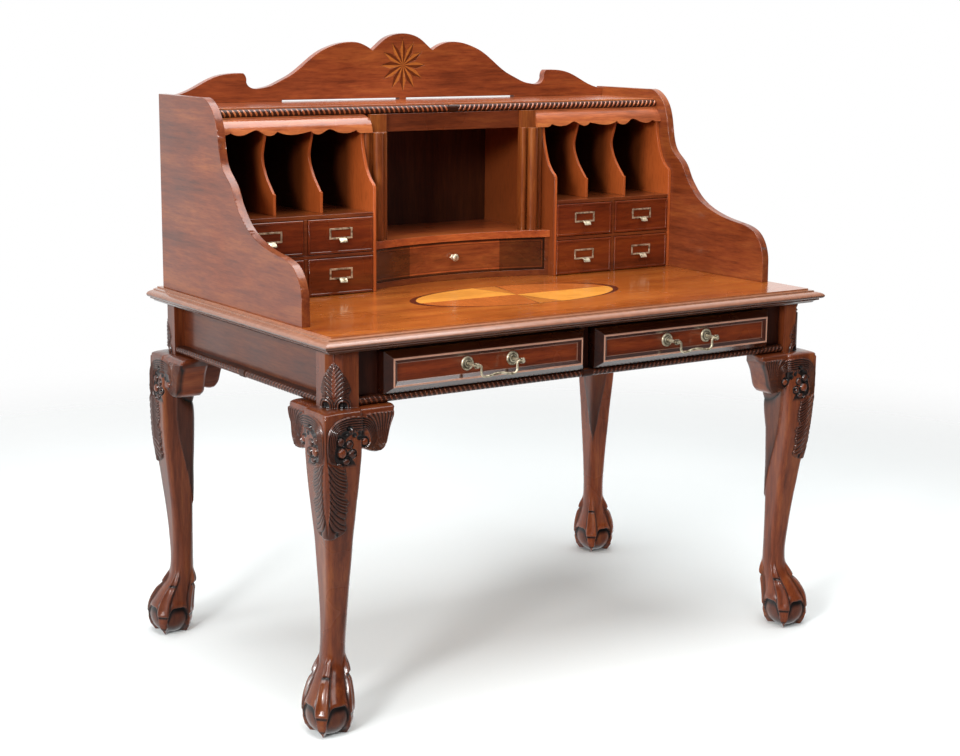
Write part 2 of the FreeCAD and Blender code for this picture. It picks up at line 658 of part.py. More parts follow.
# ---------------------------------------------------------------- gallery carcass
# Front edge of the gallery's sides, from the top down: shares of the sides'
# depth from the rear edge, and of their height above the writing top.
SIDE_EDGE = [
    [(0.3226, 1)],
    [(0.3478, 0.9988), (0.3837, 0.9744), (0.4138, 0.933), (0.4341, 0.877), (0.4439, 0.8234),
     (0.452, 0.76), (0.4651, 0.6943), (0.4846, 0.6529), (0.5139, 0.6188), (0.54, 0.5798),
     (0.5611, 0.5262), (0.5888, 0.4726), (0.6198, 0.4263), (0.6605, 0.3849), (0.7044, 0.3557),
     (0.7517, 0.3337), (0.8038, 0.3167), (0.8575, 0.3045), (0.9064, 0.2911), (0.9471, 0.2655),
     (0.9748, 0.2241), (0.991, 0.1754), (0.9984, 0.1218)],
    [(1, 0)],
]


def gallery_side(side):
    edge = [[(GALLERY_REAR_Y - deep * GALLERY_DEEP, TOP_Z + high * GALLERY_HIGH)
             for deep, high in run] for run in SIDE_EDGE]
    profile = [[(GALLERY_REAR_Y, TOP_Z)], [(GALLERY_REAR_Y, GALLERY_TOP_Z)]] + edge
    start = SIDE_IN_X if side > 0 else -SIDE_IN_X - SIDE_THICK
    return board("YZ", profile, start, SIDE_THICK)


def gallery_back():
    return box(-SIDE_IN_X, SIDE_IN_X, BACK_FRONT_Y, BACK_FRONT_Y + BACK_THICK, TOP_Z, SHELF_BOTTOM)


def gallery_shelf():
    rear = BACK_FRONT_Y + BACK_THICK
    return box(-SIDE_IN_X, SIDE_IN_X, SHELF_FRONT_Y, rear, SHELF_BOTTOM, SHELF_TOP)


def shelf_rope():
    rope = rope_bar(2 * SIDE_IN_X, SHELF_ROPE_R / 4, SHELF_ROPE_R)
    rope.translate(Vector(0, SHELF_FRONT_Y - SHELF_ROPE_R / 4, SHELF_BOTTOM + SHELF_ROPE_R))
    return rope


# Right half of the crest's top edge, from its end to the middle: share of its
# half length, and height above the shelf.
CREST_EDGE = [
    [(0.9625, 20), (0.9224, 28), (0.8823, 39), (0.8405, 50.5), (0.8003, 58),
     (0.7585, 61.5), (0.7027, 62)],
    [(0.6922, 54), (0.6905, 43)],
    [(0.6783, 33), (0.6591, 29), (0.626, 30), (0.5911, 34), (0.5493, 44),
     (0.5057, 55.5), (0.4656, 70), (0.4185, 90.5), (0.3714, 108), (0.3296, 118),
     (0.2877, 125), (0.2441, 128), (0.2075, 127), (0.1744, 121), (0.1395, 109.5)],
    [(0.1116, 122), (0.0785, 136), (0.0418, 144), (0, 147)],
]


def crest_outline():
    return [[(share * SIDE_IN_X, SHELF_TOP + rise) for share, rise in run] for run in CREST_EDGE]


def star():
    """Star of pointed rays let into the crest."""
    between = 360 / STAR_RAYS
    corners = ((0, STAR_R), (STAR_RAY_ANGLE, STAR_WIDE_R), (between / 2, STAR_HUB_R),
               (between - STAR_RAY_ANGLE, STAR_WIDE_R))
    points = []
    for ray in range(STAR_RAYS):
        for turn, radius in corners:
            angle = math.radians(ray * between + turn)
            points.append([(radius * math.sin(angle), STAR_Z + radius * math.cos(angle))])
    return board("XZ", points, CREST_FRONT_Y, INLAY_DEEP)


def crest_board():
    end = [[(SIDE_IN_X, SHELF_TOP)], [(SIDE_IN_X, SHELF_TOP + CREST_END_RISE)]]
    half = end + crest_outline() + [[(0, SHELF_TOP)]]
    right = board("XZ", half, CREST_FRONT_Y, CREST_THICK)
    slit = box(PEG_HALF, CREST_SLIT_HALF, CREST_FRONT_Y, CREST_FRONT_Y + CREST_THICK,
               SHELF_TOP, SHELF_TOP + CREST_SLIT)
    return fuse(both(right.cut(slit))).cut(star())


# ---------------------------------------------------------------- banks
# Cove under the shelf's edge: distance in front of the edge, and drop below the shelf.
COVE = [(1, 0), (8, 12.5), (17, 27.5), (20.5, FRIEZE_HIGH)]

# Front edge of the partitions under the cove, and of the dividers, likewise.
PARTITION_CURVE = [(24.5, 67), (31, 89), (39, 110.5), (50, 127.5), (66.5, 141.5)]
PARTITION_TOE = 148.5
DIVIDER_CURVE = [(-5, 60.5), (-10, 82.5), (-4, 104.5), (8, 124.5), (24, 142.5), (36, 155.5)]
DIVIDER_TOP = (2.5, 39.5)
DIVIDER_TOE = (41, 156.5)


def under_shelf(points):
    """Places in the YZ plane of points written from the bottom of the shelf's front edge."""
    return [(SHELF_FRONT_Y - ahead, SHELF_BOTTOM - drop) for ahead, drop in points]


def partition(x0, thick):
    toe = [(BANK_FRONT_Y, SHELF_BOTTOM - PARTITION_TOE)]
    runs = [
        [(BACK_FRONT_Y, TOP_Z)], [(BACK_FRONT_Y, SHELF_BOTTOM)],
        under_shelf(COVE[:1]), under_shelf(COVE[1:]), under_shelf(PARTITION_CURVE),
        toe, [(BANK_FRONT_Y, TOP_Z)],
    ]
    return board("YZ", runs, x0, thick)


def partitions():
    return Part.makeCompound(both(partition(PARTITION_IN_X, PARTITION_THICK)))


def side_liners():
    return Part.makeCompound(both(partition(BANK_OUT_X, LINER_THICK)))


def hole_edges():
    """Left faces of the dividers between a bank's pigeonholes."""
    clear = (BANK_OUT_X - BANK_IN_X - (HOLES - 1) * HOLE_DIVIDER) / HOLES
    return [BANK_IN_X + clear * n + HOLE_DIVIDER * (n - 1) for n in range(1, HOLES)]


def pigeonhole_dividers():
    toe = under_shelf([DIVIDER_TOE])
    runs = [
        [(BACK_FRONT_Y, BANK_SHELF_TOP)], [(BACK_FRONT_Y, SHELF_BOTTOM)],
        under_shelf(COVE[:1]), under_shelf([DIVIDER_TOP]), under_shelf(DIVIDER_CURVE),
        toe, [(toe[0][0], BANK_SHELF_TOP)],
    ]
    pieces = []
    for x in hole_edges():
        pieces += both(board("YZ", runs, x, HOLE_DIVIDER))
    return Part.makeCompound(pieces)


def cell_middle():
    return (BANK_IN_X + BANK_OUT_X) / 2


def bank_frames():
    """Shelf, middle board and upright between the small drawers of each bank."""
    middle = cell_middle()
    mid_bottom = MID_BOARD_TOP - MID_BOARD
    shelf_bottom = BANK_SHELF_TOP - BANK_SHELF
    x0, x1, y0, y1 = BANK_IN_X, BANK_OUT_X, BANK_FRONT_Y, BACK_FRONT_Y
    pieces = both(box(x0, x1, y0, y1, shelf_bottom, BANK_SHELF_TOP))
    pieces += both(box(x0, x1, y0, y1, mid_bottom, MID_BOARD_TOP))
    for z0, z1 in ((TOP_Z, mid_bottom), (MID_BOARD_TOP, shelf_bottom)):
        pieces += both(box(middle - CELL_POST / 2, middle + CELL_POST / 2, y0, y1, z0, z1))
    return Part.makeCompound(pieces)


def small_cells():
    """Name and limits of the four drawer cells of the right-hand bank."""
    middle = cell_middle()
    columns = (("inner", BANK_IN_X, middle - CELL_POST / 2),
               ("outer", middle + CELL_POST / 2, BANK_OUT_X))
    rows = (("lower", TOP_Z, MID_BOARD_TOP - MID_BOARD),
            ("upper", MID_BOARD_TOP, BANK_SHELF_TOP - BANK_SHELF))
    return [(row + "_" + column, x0, x1, z0, z1)
            for row, z0, z1 in rows for column, x0, x1 in columns]


def small_drawer(x0, x1, z0, z1):
    """Front with a raised lip round its edge, and the open box behind it."""
    y0 = BANK_FRONT_Y - SMALL_LIP_DEEP
    y1 = y0 + SMALL_FRONT
    fx0, fx1 = x0 + FRONT_GAP, x1 - FRONT_GAP
    fz0, fz1 = z0 + FRONT_GAP, z1 - FRONT_GAP
    front = box(fx0, fx1, y0, y1, fz0, fz1)
    rim = [edge for edge in front.Edges if abs(edge.CenterOfMass.y - y0) < SMALL_LIP_DEEP / 2]
    front = front.makeFillet(SMALL_LIP / 2, rim)
    front = front.cut(box(fx0 + SMALL_LIP, fx1 - SMALL_LIP, y0, y0 + SMALL_LIP_DEEP,
                          fz0 + SMALL_LIP, fz1 - SMALL_LIP))
    body = tray(x0 + SIDE_GAP, x1 - SIDE_GAP, y1, y1 + SMALL_LONG, z0 + RUN_GAP,
                fz1 - SMALL_DROP, SMALL_WALL, SMALL_BOTTOM)
    return Part.makeCompound([front, body])


def small_pull(x0, x1, z0, z1):
    """Brass label frame with a curved finger tongue under it."""
    x, z = (x0 + x1) / 2, (z0 + z1) / 2 + PULL_RAISE
    face = BANK_FRONT_Y
    frame = box(x - PULL_W / 2, x + PULL_W / 2, face - PULL_THICK, face,
                z - PULL_H / 2, z + PULL_H / 2)
    window = box(x - PULL_W / 2 + PULL_RIM, x + PULL_W / 2 - PULL_RIM, face - PULL_THICK, face,
                 z - PULL_H / 2 + PULL_RIM, z + PULL_H / 2 - PULL_RIM)
    base = z - PULL_H / 2
    out = face - PULL_THICK - TONGUE_OUT
    root = face - PULL_THICK
    tip_z = base - TONGUE_DROP
    thick = TONGUE_THICK
    tongue = board("YZ", [
        [(root, base + PULL_RIM)], [(root - 5, base + PULL_RIM - 0.6), (out + 2.5, base - 1.5),
                                    (out, tip_z)],
        [(out + thick, tip_z)],
        [(out + 2.5 + thick, base - 2.5), (root - 4.5, base + PULL_RIM - thick - 0.6),
         (root, base + PULL_RIM - thick)],
    ], x - TONGUE_W / 2, TONGUE_W)
    return fuse([frame.cut(window), tongue])


# ---------------------------------------------------------------- valances and centre bay
# Scalloped lower edge of the valance, from its outer end inwards: share of its
# length, and height above the frieze's bottom.
SCALLOPS = [
    [(1, 5.5)],
    [(0.9678, 4.5), (0.9315, 8.5)],
    [(0.9007, 3.5), (0.8713, 2.5), (0.8168, 7.5), (0.758, 12.2), (0.7189, 3.5),
     (0.6867, 0.5), (0.635, 9)],
    [(0.5846, 2.5), (0.5371, 1.1), (0.4755, 3.5), (0.414, 7.5)],
    [(0.3888, 1.5), (0.3636, 0.3), (0.3217, 6.5), (0.2876, 10.5), (0.2406, 4.5),
     (0.1902, 1.3), (0.1119, 7)],
    [(0.0895, 1), (0.0671, 0)],
]
VALANCE_SPARE = 2.0    # stock below the frieze's bottom, cut away with the scallops

# Rear of the valance's section, from the bottom up, written like the cove.
VALANCE_REAR = [(26, 26.5), (20, 14.5), (7, 3.5)]
VALANCE_LIP = 7.5      # its thickness at the bottom


def valance():
    """Right-hand valance: a curved section with a scalloped lower edge."""
    foot = FRIEZE_HIGH + VALANCE_SPARE
    section = [
        under_shelf(COVE[:1]), under_shelf(COVE[1:]),
        under_shelf([(COVE[-1][0], foot)]), under_shelf([(COVE[-1][0] + VALANCE_LIP, foot)]),
        under_shelf(VALANCE_REAR), under_shelf([(VALANCE_REAR[-1][0], 0)]),
    ]
    length = SIDE_IN_X - VALANCE_END_X
    body = board("YZ", section, VALANCE_END_X, length)
    corner = VALANCE_CORNER
    bend = corner * (1 - math.sqrt(0.5))
    end, top = VALANCE_END_X, SHELF_BOTTOM
    edge = [[(end + share * length, FRIEZE_BOTTOM + rise) for share, rise in run]
            for run in SCALLOPS]
    rest = [
        [(end, FRIEZE_BOTTOM)], [(end, top - corner)], [(end + bend, top - bend), (end + corner, top)],
    ]
    cutter = board("XZ", [[(SIDE_IN_X, top)]] + edge + rest, 0, BACK_FRONT_Y)
    return body.common(cutter)


def frieze_rail():
    return box(-COLUMN_IN_X, COLUMN_IN_X, FRIEZE_FRONT_Y, FRIEZE_FRONT_Y + FRIEZE_THICK,
               FRIEZE_BOTTOM, SHELF_BOTTOM)


def column():
    """Reeded half column on a flat board, with a plain block above it."""
    z0, z1 = CENTRE_SHELF_TOP, FRIEZE_BOTTOM
    flat = box(COLUMN_IN_X, PARTITION_IN_X, COLUMN_FLAT_Y, COLUMN_FLAT_Y + COLUMN_BACK, z0, z1)
    shaft = Part.makeCylinder(COLUMN_R, z1 - z0, Vector(COLUMN_X, COLUMN_Y, z0))
    pieces = [flat, shaft]
    for x in (COLUMN_IN_X + REED_R, PARTITION_IN_X - REED_R):
        pieces.append(Part.makeCylinder(REED_R, z1 - z0, Vector(x, COLUMN_FLAT_Y, z0)))
    pieces.append(box(COLUMN_IN_X, VALANCE_END_X, COLUMN_FLAT_Y, COLUMN_FLAT_Y + COLUMN_BACK,
                      z1, SHELF_BOTTOM))
    return fuse(pieces)


def centre_base():
    """Base board with a cheek at each end, round the centre drawer."""
    z0 = TOP_Z
    base = arc_band(BAY_SET_BACK, BAY_ARC_R, PARTITION_IN_X, z0, BASE_TOP)
    low, high = BASE_TOP, CENTRE_SHELF_TOP - CENTRE_SHELF
    wall = arc_band(BAY_SET_BACK, BAY_ARC_R, PARTITION_IN_X, low, high)
    room = PARTITION_IN_X - CHEEK
    cheeks = wall.cut(box(-room, room, 0, BACK_FRONT_Y, low, high))
    return fuse([base] + cheeks.Solids)


def centre_shelf():
    return arc_band(0.0, BAY_ARC_R, PARTITION_IN_X, CENTRE_SHELF_TOP - CENTRE_SHELF,
                    CENTRE_SHELF_TOP)


def centre_limits():
    return (PARTITION_IN_X - CHEEK - FRONT_GAP, BASE_TOP + FRONT_GAP,
            CENTRE_SHELF_TOP - CENTRE_SHELF - FRONT_GAP)


def centre_front():
    half, z0, z1 = centre_limits()
    return arc_band(BAY_SET_BACK, BAY_SET_BACK + CENTRE_FRONT, half, z0, z1)


def centre_box():
    """Open box behind the concave front, following its curve."""
    half, _, z1 = centre_limits()
    half = PARTITION_IN_X - CHEEK - SIDE_GAP
    z0, z1 = BASE_TOP + RUN_GAP, z1 - SMALL_DROP
    back = BAY_SET_BACK + CENTRE_FRONT
    outer = arc_band(back, BAY_ARC_R, half, z0, z1).common(
        box(-half, half, 0, CENTRE_BACK_Y, z0, z1))
    inner = arc_band(back + SMALL_WALL, BAY_ARC_R, half - SMALL_WALL, z0 + SMALL_BOTTOM,
                     z1 + SMALL_WALL).common(
        box(-half, half, 0, CENTRE_BACK_Y - SMALL_WALL, z0, z1 + SMALL_WALL))
    return outer.cut(inner)


def knob():
    """Turned knob in the middle of the centre drawer."""
    face = BAY_ARC_Y + BAY_ARC_R + BAY_SET_BACK
    profile = [
        [(0, 0)], [(KNOB_NECK_R + 2, 0)], [(KNOB_NECK_R, 2.5), (KNOB_NECK_R, 6)],
        [(KNOB_R * 0.95, KNOB_OUT - 8), (KNOB_R, KNOB_OUT - 5.5), (KNOB_R * 0.8, KNOB_OUT - 2.2),
         (KNOB_R * 0.35, KNOB_OUT - 0.4)],
        [(0, KNOB_OUT)],
    ]
    turned = Part.Face(outline("XY", [[(u, -v) for u, v in run] for run in profile]))
    turned = turned.revolve(Vector(0, 0, 0), Vector(0, 1, 0), 360)
    turned.translate(Vector(0, face, KNOB_Z))
    return turned


def save(name, shape):
    """Move a finished piece into the part's frame and write it."""
    placed = shape.copy()
    placed.translate(Vector(0, TOP_SHIFT, 0))
    if not placed.isValid():
        raise ValueError("invalid shape: " + name)
    placed.exportStep("parts/" + name + ".step")
    print("%-34s %2d solids" % (name, len(placed.Solids)))


def main():
    os.makedirs("parts", exist_ok=True)
    for side, side_name in ((-1, "left"), (1, "right")):
        for end, end_name in ((-1, "front"), (1, "rear")):
            shape = leg(side, end)
            save("leg_%s_%s" % (end_name, side_name), shape)
            save("knee_ears_%s_%s" % (end_name, side_name), Part.makeCompound(ears(side, end, shape)))
        save("apron_" + side_name, apron_side(side))
        save("gallery_side_" + side_name, gallery_side(side))
    save("apron_back", apron_back())
    save("front_frame", front_frame())
    save("drawer_runners", drawer_runners())
    save("apron_rope", apron_rope())
    save("writing_top", writing_top())
    save("top_inlay", oval())
    save("gallery_back", gallery_back())
    save("gallery_shelf", gallery_shelf())
    save("shelf_rope", shelf_rope())
    save("crest_board", crest_board())
    save("crest_star", star())
    save("partitions", partitions())
    save("side_liners", side_liners())
    save("pigeonhole_dividers", pigeonhole_dividers())
    save("bank_frames", bank_frames())
    save("valances", Part.makeCompound(both(valance())))
    save("frieze_rail", frieze_rail())
    save("columns", Part.makeCompound(both(column())))
    save("centre_base", centre_base())
    save("centre_shelf", centre_shelf())
    save("centre_drawer_front", centre_front())
    save("centre_drawer_box", centre_box())
    save("centre_drawer_knob", knob())
    for side_name, place in (("left", mirror_x), ("right", Part.Shape.copy)):
        save("wide_drawer_front_" + side_name, place(wide_front()))
        save("wide_drawer_box_" + side_name, place(wide_box()))
        save("handle_posts_" + side_name, place(handle_posts()))
        save("bail_" + side_name, place(bail()))
        for cell_name, x0, x1, z0, z1 in small_cells():
            name = "%s_%s" % (side_name, cell_name)
            save("small_drawer_" + name, place(small_drawer(x0, x1, z0, z1)))
            save("small_pull_" + name, place(small_pull(x0, x1, z0, z1)))


main()
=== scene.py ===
import math

import bmesh
import bpy
import numpy as np
from mathutils import Matrix, Vector


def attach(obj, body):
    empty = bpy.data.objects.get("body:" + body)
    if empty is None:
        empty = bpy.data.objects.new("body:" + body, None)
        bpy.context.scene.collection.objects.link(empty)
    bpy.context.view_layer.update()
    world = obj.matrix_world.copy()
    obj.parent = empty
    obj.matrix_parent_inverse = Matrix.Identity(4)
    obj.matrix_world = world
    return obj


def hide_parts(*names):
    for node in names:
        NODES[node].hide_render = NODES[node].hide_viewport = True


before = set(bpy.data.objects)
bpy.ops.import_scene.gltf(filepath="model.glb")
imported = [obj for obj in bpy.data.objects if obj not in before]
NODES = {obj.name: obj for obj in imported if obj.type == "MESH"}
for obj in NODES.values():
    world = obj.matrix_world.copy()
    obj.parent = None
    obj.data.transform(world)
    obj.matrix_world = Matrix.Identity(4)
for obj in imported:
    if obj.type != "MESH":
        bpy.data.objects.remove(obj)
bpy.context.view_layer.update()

bl_info = {
    "name": "Bonheur du jour",
    "version": (1, 0, 0),
    "blender": (4, 5, 0),
    "location": "3D View > Sidebar > Writing table",
    "description": "Dresses a carved mahogany writing table with its woods, inlay and brasses",
    "category": "Object",
}

MM = 0.001
SIDES = (("left", -1), ("right", 1))
ENDS = (("front", -1), ("rear", 1))
CELLS = [f"{side}_{row}_{column}" for side, _ in SIDES
         for row in ("lower", "upper") for column in ("inner", "outer")]


def linear(code):
    """Linear RGBA of an sRGB hex colour."""
    parts = [int(code[i:i + 2], 16) / 255 for i in (1, 3, 5)]
    return tuple(p / 12.92 if p <= 0.04045 else ((p + 0.055) / 1.055) ** 2.4
                 for p in parts) + (1.0,)


def colour_prop(name, code, text):
    return bpy.props.FloatVectorProperty(name=name, description=text, subtype="COLOR", size=4,
                                         min=0.0, max=1.0, default=linear(code))


def number_prop(name, value, text, unit="NONE"):
    return bpy.props.FloatProperty(name=name, description=text, default=value, min=0.0, unit=unit)


class FinishColours(bpy.types.PropertyGroup):
    """Colours of the woods and metals."""
    mahogany_dark: colour_prop("Mahogany, dark", "#42190B", "Darkest streaks of the show wood")
    mahogany_mid: colour_prop("Mahogany, middle", "#77371A", "Body colour of the show wood")
    mahogany_light: colour_prop("Mahogany, light", "#9A5527", "Lightest figure of the show wood")
    top_dark: colour_prop("Top, dark", "#843A12", "Darkest streaks of the faded writing top")
    top_mid: colour_prop("Top, middle", "#B25F22", "Body colour of the writing top")
    top_light: colour_prop("Top, light", "#CC7C33", "Lightest figure of the writing top")
    # Old wax, and painted shade: this colour darkens the carving's hollows, grooves and outlines
    # where shade falls.
    wax_and_shade: colour_prop("Wax in hollows", "#0C0302", "Old polish and dirt left in the carving")
    satinwood: colour_prop("Satinwood", "#DE963F", "Veneer that shows end-on to the light")
    satinwood_turned: colour_prop("Satinwood, turned", "#B5622A", "Same veneer, its grain turned")
    satinwood_wedge: colour_prop("Satinwood, wedge", "#B8702F", "Narrow wedges of the oval")
    star_light: colour_prop("Star, light", "#A8612A", "Light half of each ray of the star")
    star_dark: colour_prop("Star, dark", "#5E2A10", "Scorched half of each ray of the star")
    stringing: colour_prop("Stringing", "#4A1A0B", "Dark line veneers")
    # Painted highlight: the pale lines along the wide drawers' ridges, where light catches.
    rubbed: colour_prop("Rubbed edges", "#C9947C", "Ridges worn pale by handling")
    pale_wood: colour_prop("Pigeonhole wood", "#9A5A2C", "Paler wood of the pigeonholes' walls")
    lining: colour_prop("Drawer lining", "#A9763F", "Unpolished wood inside the drawers")
    brass: colour_prop("Brass", "#DCD0B4", "Pale lacquered brass")
    brass_dull: colour_prop("Brass, dull", "#6F6048", "Tarnish in the brass's hollows")


class CarvingSizes(bpy.types.PropertyGroup):
    """Sizes of the carved work."""
    scroll_lines: bpy.props.IntProperty(
        name="Scroll lines", description="Lines side by side in the knee's scroll", default=5,
        min=2)
    scroll_deep: number_prop("Scroll depth", 4.4 * MM, "Height of the scroll's lines", "LENGTH")
    leaf_pitch: number_prop("Leaf stroke pitch", 12.8 * MM, "Distance between the leaf's strokes",
                            "LENGTH")
    leaf_deep: number_prop("Leaf depth", 4.8 * MM, "Height of the leaf's strokes", "LENGTH")
    apron_bead: number_prop("Apron bead pitch", 11 * MM, "Pitch of the rope under the apron",
                            "LENGTH")
    shelf_bead: number_prop("Shelf bead pitch", 12 * MM, "Pitch of the rope along the shelf",
                            "LENGTH")
    edge: number_prop("Edge wear", 0.9 * MM, "Rounding of the boards' handled edges", "LENGTH")


class StageSizes(bpy.types.PropertyGroup):
    """Lamps, floor and backdrop."""
    floor: colour_prop("Floor", "#FBFFFF", "Pale studio floor")
    floor_cloud: colour_prop("Floor, clouded", "#F5FAFA", "Slightly darker patches of the floor")
    key_power: number_prop("Key lamp", 85.0, "Smaller lamp in front and to the left", "POWER")
    left_power: number_prop("Left lamp", 170.0, "Large soft lamp at the left", "POWER")
    top_power: number_prop("Top lamp", 122.0, "Soft lamp overhead", "POWER")
    front_power: number_prop("Front lamp", 25.0, "Soft fill lamp", "POWER")
    world: number_prop("World", 0.36, "Strength of the light from all round")


def carving():
    return bpy.context.scene.table_carving


# ------------------------------------------------------------------ nodes
def node(tree, kind, inputs=None, **settings):
    """Adds a node; each input is a value, or a socket that is linked to it."""
    made = tree.nodes.new(kind)
    for key, value in settings.items():
        setattr(made, key, value)
    for key, value in (inputs or {}).items():
        if isinstance(value, bpy.types.NodeSocket):
            tree.links.new(value, made.inputs[key])
        else:
            made.inputs[key].default_value = value
    return made


def calc(operation, *values, kind="ShaderNodeMath"):
    """Result of a sum on numbers and one or more sockets, made in the sockets' tree."""
    tree = next(value for value in values if isinstance(value, bpy.types.NodeSocket)).id_data
    return node(tree, kind, dict(enumerate(values)), operation=operation).outputs[0]


def remap(value, low, high, first=0.0, last=1.0, **settings):
    """Carries low to high over to first to last, and holds the ends."""
    return node(value.id_data, "ShaderNodeMapRange", {
        "Value": value, "From Min": low, "From Max": high, "To Min": first, "To Max": last},
        **settings).outputs[0]


def noise(place, size, detail=2.0, rough=0.5, output="Fac"):
    """Noise whose broadest features have one size."""
    return node(place.id_data, "ShaderNodeTexNoise", {
        "Vector": place, "Scale": 1 / size, "Detail": detail, "Roughness": rough}).outputs[output]


def ramp(factor, stops):
    """Colour ramp; each stop is a place and a linear colour or a grey."""
    made = node(factor.id_data, "ShaderNodeValToRGB", {"Fac": factor})
    elements = made.color_ramp.elements
    while len(elements) < len(stops):
        elements.new(0.5)
    for element, (place, tint) in zip(elements, stops):
        element.position = place
        element.color = (*((tint,) * 3 if isinstance(tint, (int, float)) else tint[:3]), 1.0)
    return made.outputs["Color"]


def band(value, stops):
    """Greys placed along a length; stops are (millimetres, grey)."""
    low, high = stops[0][0], stops[-1][0]
    return ramp(remap(value, low * MM, high * MM),
                [((at - low) / (high - low), grey) for at, grey in stops])


def mixed(factor, first, second, blend="MIX"):
    """Mix of two colours."""
    return node(first.id_data, "ShaderNodeMix", {0: factor, 6: first, 7: second}, data_type="RGBA",
                blend_type=blend).outputs[2]


def times(base, tint, factor=1.0):
    return mixed(factor, base, tint, "MULTIPLY")


def axis(place, name):
    return node(place.id_data, "ShaderNodeSeparateXYZ", {0: place}).outputs[name]


def from_middle(place):
    """Distance from the middle plane, the same at the left and the right."""
    return calc("ABSOLUTE", axis(place, "X"))


def inside(place, x0, x1, z0, z1):
    """Distance in from the nearest edge of an upright panel given in millimetres."""
    x, z = from_middle(place), axis(place, "Z")
    across = calc("MINIMUM", calc("SUBTRACT", x, x0 * MM), calc("SUBTRACT", x1 * MM, x))
    upright = calc("MINIMUM", calc("SUBTRACT", z, z0 * MM), calc("SUBTRACT", z1 * MM, z))
    return calc("MINIMUM", across, upright)


# ------------------------------------------------------------------ materials
# Casts that a wood's colour is multiplied by; the third pales it towards white as a painted sheen.
PLAIN, RED, PAINTED_SHEEN_CAST = (1.0, 1.0, 1.0), (1.0, 0.75, 0.55), (1.0, 1.25, 1.5)
GOLD, TAN = (1.0, 1.15, 0.9), (1.25, 0.85, 0.7)


def paint(key, factor=1.0, cast=PLAIN):
    """One of the finish colours, made lighter or darker and cast towards another."""
    tint = getattr(bpy.context.scene.table_colours, key)
    return tuple(min(1.0, part * factor * to) for part, to in zip(tint, cast)) + (1.0,)


def tones(factor, cast=PLAIN, wood="mahogany"):
    """Dark, middle and light colour of a wood."""
    return [paint(f"{wood}_{tone}", factor, cast) for tone in ("dark", "mid", "light")]


def blank_material(name):
    """Material with an empty tree, and the place on the object that its patterns read."""
    material = bpy.data.materials.new(name)
    material.use_nodes = True
    tree = material.node_tree
    tree.nodes.clear()
    return material, tree, node(tree, "ShaderNodeTexCoord").outputs["Object"]


def surface(tree, inputs):
    """Ends a material in one shader with these inputs."""
    shader = node(tree, "ShaderNodeBsdfPrincipled", inputs)
    node(tree, "ShaderNodeOutputMaterial", {"Surface": shader.outputs[0]})


# Feature sizes of the timber, across the grain: broad figure 60 mm, growth
# streaks 9 mm and pores 1.2 mm, drawn 2.4 mm wide so that they show.  Along
# the grain each is many times longer.  Fading lies in clouds of 220 mm.
FIGURE, STREAK, PORE, CLOUD = 60 * MM, 9 * MM, 2.4 * MM, 220 * MM
PORE_DEEP = 0.3 * MM
WANDER = (0.03, 0.03, 0.03)
ALONG = {"X": (0.10, 1.0, 1.0), "Y": (1.0, 0.10, 1.0), "Z": (1.0, 1.0, 0.10)}


def timber(name, grain, colours, gloss, coat=0.7, shade=None, carved=False):
    """Polished timber with its grain along one axis: streaks, pores, fading and a coat of polish; a
    carved timber is also darkened in its hollows, as old wax and painted shade.

    colours are dark, middle and light; gloss is the roughness of the polish."""
    material, tree, place = blank_material(name)
    vector = "ShaderNodeVectorMath"
    along = calc("MULTIPLY", place, ALONG[grain], kind=vector)
    bend = noise(along, 4 * FIGURE, output="Color")
    bent = calc("ADD", along, calc("MULTIPLY", bend, WANDER, kind=vector), kind=vector)
    figure = calc("MULTIPLY", noise(bent, FIGURE, 4.0, 0.6), 0.55)
    streak = calc("MULTIPLY", noise(bent, STREAK, 5.0, 0.65), 0.45)
    pore = noise(bent, PORE)
    base = ramp(calc("ADD", figure, streak), list(zip((0.30, 0.5, 0.72), colours)))
    base = times(base, ramp(pore, ((0.36, (0.55, 0.50, 0.46)), (0.50, 1))), 0.4)
    cloud = noise(place, CLOUD, 3.0)
    base = times(base, ramp(cloud, ((0.30, (0.72, 0.68, 0.66)), (0.65, 1.08))), 0.7)
    if shade:
        base = shade(place, base)
    rough = remap(cloud, 0.3, 0.7, gloss * 0.8, gloss * 1.3)
    # Carved timber is darker in its hollows: old wax, and painted shade in its grooves, recesses
    # and outlines.
    if carved:
        hollow = node(tree, "ShaderNodeAttribute", attribute_name="hollow").outputs["Fac"]
        waxed_and_shaded = calc("MINIMUM", calc("MULTIPLY", hollow, 1.15), 1.0)
        base = mixed(waxed_and_shaded, base, paint("wax_and_shade"))
        rough = calc("ADD", rough, calc("MULTIPLY", hollow, 0.25))
    bump = node(tree, "ShaderNodeBump", {"Strength": 0.12, "Distance": PORE_DEEP, "Height": pore})
    surface(tree, {"Base Color": base, "Roughness": rough, "Normal": bump.outputs[0], "IOR": 1.5,
                   "Specular IOR Level": 0.25, "Coat Weight": coat, "Coat Roughness": 0.15})
    return material


# Moulded edge of the top, in millimetres: where it begins, its foot and its arris.
EDGE_X, EDGE_Y, EDGE_LOW, EDGE_HIGH = 597.7, -370.4, 743, 769
# Its painted light and shade from the foot up: dark, with a dark line under the pale painted
# highlight of its upper half.
EDGE_LIGHT_AND_SHADE = ((0.0, (0.06, 0.018, 0.008)), (0.3, (0.17, 0.06, 0.033)),
              (0.40, (0.05, 0.014, 0.006)), (0.5, (0.26, 0.105, 0.06)),
              (0.9, (0.34, 0.15, 0.085)))
# Shown panels of the fronts in millimetres: nearest and farthest x, lowest and highest z.
WIDE_PANEL, CENTRE_PANEL = (13.5, 483.5, 651, 733), (-1000, 224, 784.5, 856)
# Nearer the middle than this, in millimetres, the walls are the niche's; farther out they
# are the pigeonholes'.
NICHE_X = (234, 236)


